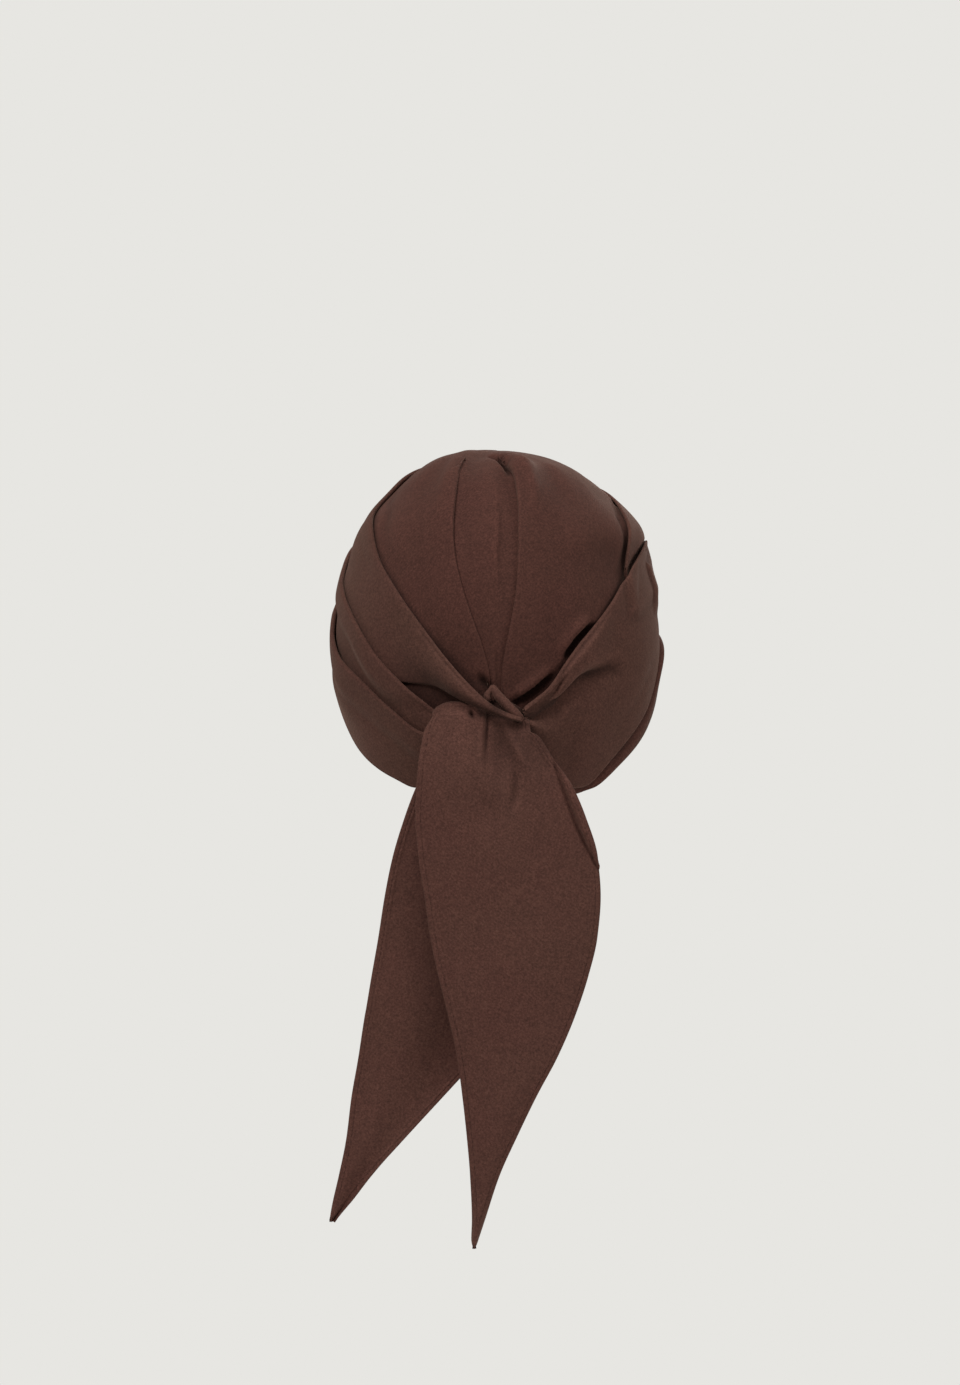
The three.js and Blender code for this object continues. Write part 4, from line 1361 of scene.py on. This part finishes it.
def blend(tree, label, kind, share, first, second):
    made = node(tree, "ShaderNodeMix", label, {}, data_type="RGBA", blend_type=kind)
    made.inputs[0].default_value = share
    tree.links.new(first, made.inputs[6])
    tree.links.new(second, made.inputs[7])
    return made.outputs[2]


def brushed_cloth(name, colour, shift):
    """Matte brushed twill: a mottled colour, fine fibres, a faint weave, a soft sheen at grazing angles and
    painted shade in the folds
    """
    material = bpy.data.materials.new(name)
    material.use_nodes = True
    tree = material.node_tree
    place = node(tree, "ShaderNodeTexCoord", "Place", {})
    mapped = {"Vector": place.outputs["Object"], "Location": (shift, shift * 0.7, -shift)}
    moved = node(tree, "ShaderNodeMapping", "Piece shift", mapped).outputs["Vector"]

    def noise(label, scale, detail, roughness=0.55):
        inputs = {"Scale": scale, "Detail": detail, "Roughness": roughness, "Vector": moved}
        return node(tree, "ShaderNodeTexNoise", label, inputs).outputs["Fac"]

    drift = noise("Slow drift of the dye", 22.0, 3.0)
    mottle = noise("Mottle", 260.0, 3.0)
    fibre = noise("Brushed fibres", 900.0, 4.0, 0.8)
    dark = tuple(c * 0.52 for c in colour)
    light = (colour[0] * 1.62, colour[1] * 1.66, colour[2] * 1.64)
    warm = (colour[0] * 1.02, colour[1] * 0.93, colour[2] * 0.95)
    cool = (colour[0] * 0.99, colour[1] * 1.07, colour[2] * 1.01)
    base = ramp(tree, "Dye from warm to olive", drift, [(0.35, warm), (0.65, cool)])
    grain = ramp(tree, "Fibre shade", fibre, [(0.34, dark), (0.5, colour), (0.66, light)])
    shade = ramp(tree, "Mottle shade", mottle, [(0.3, (0.92, 0.92, 0.92)), (0.7, (1.07, 1.06, 1.05))])
    # The fold_shade attribute darkens the colour: painted shade in the folds, and a painted highlight where
    # it is below 0
    folds = node(tree, "ShaderNodeAttribute", "Depth in the folds", {}, attribute_name="fold_shade")
    painted_shade_inputs = {0: folds.outputs["Fac"], 1: -0.6, 2: 1.0}
    depth = node(tree, "ShaderNodeMath", "Shade in the folds", painted_shade_inputs, operation="MULTIPLY_ADD")
    mixed = blend(tree, "Dye and fibres", "MIX", 0.7, base, grain)
    tinted = blend(tree, "With the mottle", "MULTIPLY", 1.0, mixed, shade)
    shaded = blend(tree, "With the folds", "MULTIPLY", 1.0, tinted, depth.outputs["Value"])

    turned = {"Vector": place.outputs["UV"], "Rotation": (0.0, 0.0, math.radians(52.0))}
    twill = node(tree, "ShaderNodeMapping", "Twill direction", turned).outputs["Vector"]
    ribs = {"Vector": twill, "Scale": 210.0, "Distortion": 1.5, "Detail": 2.0, "Detail Scale": 3.0}
    weave = node(tree, "ShaderNodeTexWave", "Twill ribs", ribs).outputs["Fac"]
    raised = {0: weave, 1: 0.35, 2: fibre}
    heights = node(tree, "ShaderNodeMath", "Ribs and fibres", raised, operation="MULTIPLY_ADD")
    dimples = {"Strength": 0.25, "Distance": 0.0012, "Height": noise("Dimples", 75.0, 2.0)}
    soft = node(tree, "ShaderNodeBump", "Small dimples", dimples).outputs["Normal"]
    nap = {"Strength": 0.32, "Distance": 0.0004, "Height": heights.outputs["Value"], "Normal": soft}
    fine = node(tree, "ShaderNodeBump", "Nap and weave", nap).outputs["Normal"]
    finish = {
        "Base Color": shaded,
        "Normal": fine,
        "Roughness": 0.9,
        "Specular IOR Level": 0.18,
        "Sheen Weight": 0.16,
        "Sheen Roughness": 0.40,
        "Sheen Tint": (0.95, 0.64, 0.50, 1.0),
    }
    set_inputs(tree, tree.nodes["Principled BSDF"], finish)
    return material


def dress(piece, material, slot, *nodes):
    piece.data.materials.clear()
    piece.data.materials.append(material)
    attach(piece, "root")
    if nodes:
        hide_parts(*nodes)


class BANDANACAP_OT_crown(bpy.types.Operator):
    """Make the crown's cloth with its box pleat"""

    bl_idname = "bandana_cap.crown"
    bl_label = "Crown"

    def execute(self, context):
        settings = context.scene.bandana_cap_cloth
        piece = make_crown(settings)
        dress(piece, brushed_cloth("crown cloth", settings.crown_colour_with_painted_shade, 0.0), "crown_cloth", "crown")
        return {"FINISHED"}


class BANDANACAP_OT_pleats(bpy.types.Operator):
    """Make the wrap's three pleats"""

    bl_idname = "bandana_cap.pleats"
    bl_label = "Pleats"

    def execute(self, context):
        settings = context.scene.bandana_cap_cloth
        cloth = brushed_cloth("pleat cloth", settings.pleat_colour, 0.31)
        upper = make_pleat("upper_pleat_cloth", upper_pleat, settings, UPPER_PLEAT_SPREAD, upper_gather)
        dress(upper, cloth, "pleat_cloth", "upper_pleat")
        middle = make_pleat("middle_pleat_cloth", middle_pleat, settings, MIDDLE_PLEAT_SPREAD, middle_gather)
        dress(middle, cloth, "pleat_cloth", "middle_pleat")
        lower = make_pleat("lower_pleat_cloth", lower_pleat, settings, LOWER_PLEAT_SPREAD, lower_gather)
        dress(lower, cloth, "pleat_cloth", "lower_pleat")
        return {"FINISHED"}


class BANDANACAP_OT_knot(bpy.types.Operator):
    """Make the knot's core and the strands that cross it"""

    bl_idname = "bandana_cap.knot"
    bl_label = "Knot"

    def execute(self, context):
        settings = context.scene.bandana_cap_cloth
        piece = make_knot()
        dress(piece, brushed_cloth("knot cloth", settings.pleat_colour, 0.53), "pleat_cloth", "knot")
        return {"FINISHED"}


class BANDANACAP_OT_tails(bpy.types.Operator):
    """Make the two tails with their hems and stitches"""

    bl_idname = "bandana_cap.tails"
    bl_label = "Tails"

    def execute(self, context):
        settings = context.scene.bandana_cap_cloth
        tails = context.scene.bandana_cap_tails
        cloth = brushed_cloth("tail cloth", settings.tail_colour, 0.77)
        front = make_tail("front_tail_cloth", FRONT_TAIL_OUTLINE, front_tail_point, tails, 2.4)
        dress(front, cloth, "tail_cloth", "front_tail")
        back = make_tail("back_tail_cloth", BACK_TAIL_OUTLINE, back_tail_point, tails, 0.0)
        dress(back, cloth, "tail_cloth", "back_tail")
        # The thread is the tails' colour darkened: painted shade for the needle holes that the stitches sit
        # in
        thread = brushed_cloth("stitching thread", tuple(c * 0.62 for c in settings.tail_colour), 0.9)
        for name, outline, surface, start in (
            ("front_tail_stitches", FRONT_TAIL_OUTLINE, front_tail_point, 8.0),
            ("back_tail_stitches", BACK_TAIL_OUTLINE, back_tail_point, 6.0),
        ):
            dress(make_stitches(name, outline, surface, tails, start), thread, "tail_cloth")
        return {"FINISHED"}


class BANDANACAP_OT_stage(bpy.types.Operator):
    """Set the pale floor, the soft studio light and the camera"""

    bl_idname = "bandana_cap.stage"
    bl_label = "Stage"

    def execute(self, context):
        settings = context.scene.bandana_cap_stage
        scene = context.scene
        bpy.ops.object.select_all(action="DESELECT")
        bpy.ops.mesh.primitive_circle_add(vertices=96, radius=1.0, fill_type="NGON")
        floor = context.active_object
        floor.name = "studio_floor"
        for corner in floor.data.vertices:
            corner.co.z = settings.floor_height
        floor.data.update()
        pale = (*settings.backdrop_colour, 1.0)
        paint = bpy.data.materials.new("studio floor")
        paint.use_nodes = True
        shader = paint.node_tree.nodes["Principled BSDF"]
        set_inputs(paint.node_tree, shader, {"Base Color": pale, "Roughness": 0.95})
        floor.data.materials.append(paint)

        world = bpy.data.worlds.new("studio air")
        scene.world = world
        world.use_nodes = True
        tree = world.node_tree
        air = tree.nodes["Background"]
        set_inputs(tree, air, {"Color": pale, "Strength": settings.air_strength})
        seen = node(tree, "ShaderNodeBackground", "Backdrop as seen", {"Color": pale})
        path = node(tree, "ShaderNodeLightPath", "Who sees it", {})
        both = {0: path.outputs["Is Camera Ray"], 1: air.outputs["Background"], 2: seen.outputs["Background"]}
        choice = node(tree, "ShaderNodeMixShader", "Light or backdrop", both)
        set_inputs(tree, tree.nodes["World Output"], {"Surface": choice.outputs["Shader"]})

        for lamp in LAMPS:
            light = bpy.data.lights.new(lamp["name"], "AREA")
            light.energy = settings.key_power * lamp["share"]
            light.size = lamp["size"]
            light.color = (1.0, 0.98, 0.95)
            holder = bpy.data.objects.new(lamp["name"], light)
            scene.collection.objects.link(holder)
            holder.location = lamp["at"]
            aim = Vector(LIGHT_AIM) - holder.location
            holder.rotation_euler = aim.to_track_quat("-Z", "Y").to_euler()

        lens = bpy.data.cameras.new("camera")
        lens.sensor_fit = "AUTO"
        lens.sensor_width = SENSOR_WIDTH
        lens.lens = SENSOR_WIDTH * FOCAL_PIXELS / PICTURE_HEIGHT_PIXELS
        lens.clip_start = 0.05
        lens.clip_end = 50.0
        camera = bpy.data.objects.new("camera", lens)
        scene.collection.objects.link(camera)
        camera.location = CAMERA_PLACE
        camera.rotation_euler = (math.radians(90.0), 0.0, math.radians(180.0))
        scene.camera = camera
        scene.view_settings.view_transform = "Standard"
        return {"FINISHED"}


class BANDANACAP_PT_panel(bpy.types.Panel):
    """Lists the cap's pieces and their settings"""

    bl_label = "Bandana Cap"
    bl_idname = "BANDANACAP_PT_panel"
    bl_space_type = "VIEW_3D"
    bl_region_type = "UI"
    bl_category = "Bandana Cap"

    def draw(self, context):
        layout = self.layout
        scene = context.scene
        for settings in (scene.bandana_cap_cloth, scene.bandana_cap_tails, scene.bandana_cap_stage):
            box = layout.box()
            for name in settings.bl_rna.properties.keys():
                if name not in ("rna_type", "name"):
                    box.prop(settings, name)
        for operator in OPERATORS:
            layout.operator(operator.bl_idname)


OPERATORS = (
    BANDANACAP_OT_crown,
    BANDANACAP_OT_pleats,
    BANDANACAP_OT_knot,
    BANDANACAP_OT_tails,
    BANDANACAP_OT_stage,
)
CLASSES = (BandanaCapCloth, BandanaCapTails, BandanaCapStage, *OPERATORS, BANDANACAP_PT_panel)


def register():
    for made in CLASSES:
        bpy.utils.register_class(made)
    bpy.types.Scene.bandana_cap_cloth = bpy.props.PointerProperty(type=BandanaCapCloth)
    bpy.types.Scene.bandana_cap_tails = bpy.props.PointerProperty(type=BandanaCapTails)
    bpy.types.Scene.bandana_cap_stage = bpy.props.PointerProperty(type=BandanaCapStage)


def unregister():
    del bpy.types.Scene.bandana_cap_stage
    del bpy.types.Scene.bandana_cap_tails
    del bpy.types.Scene.bandana_cap_cloth
    for made in reversed(CLASSES):
        bpy.utils.unregister_class(made)


def main():
    register()
    bpy.ops.bandana_cap.crown()
    bpy.ops.bandana_cap.pleats()
    bpy.ops.bandana_cap.knot()
    bpy.ops.bandana_cap.tails()
    bpy.ops.bandana_cap.stage()
    bpy.context.view_layer.update()


if __name__ == "__main__":
    main()
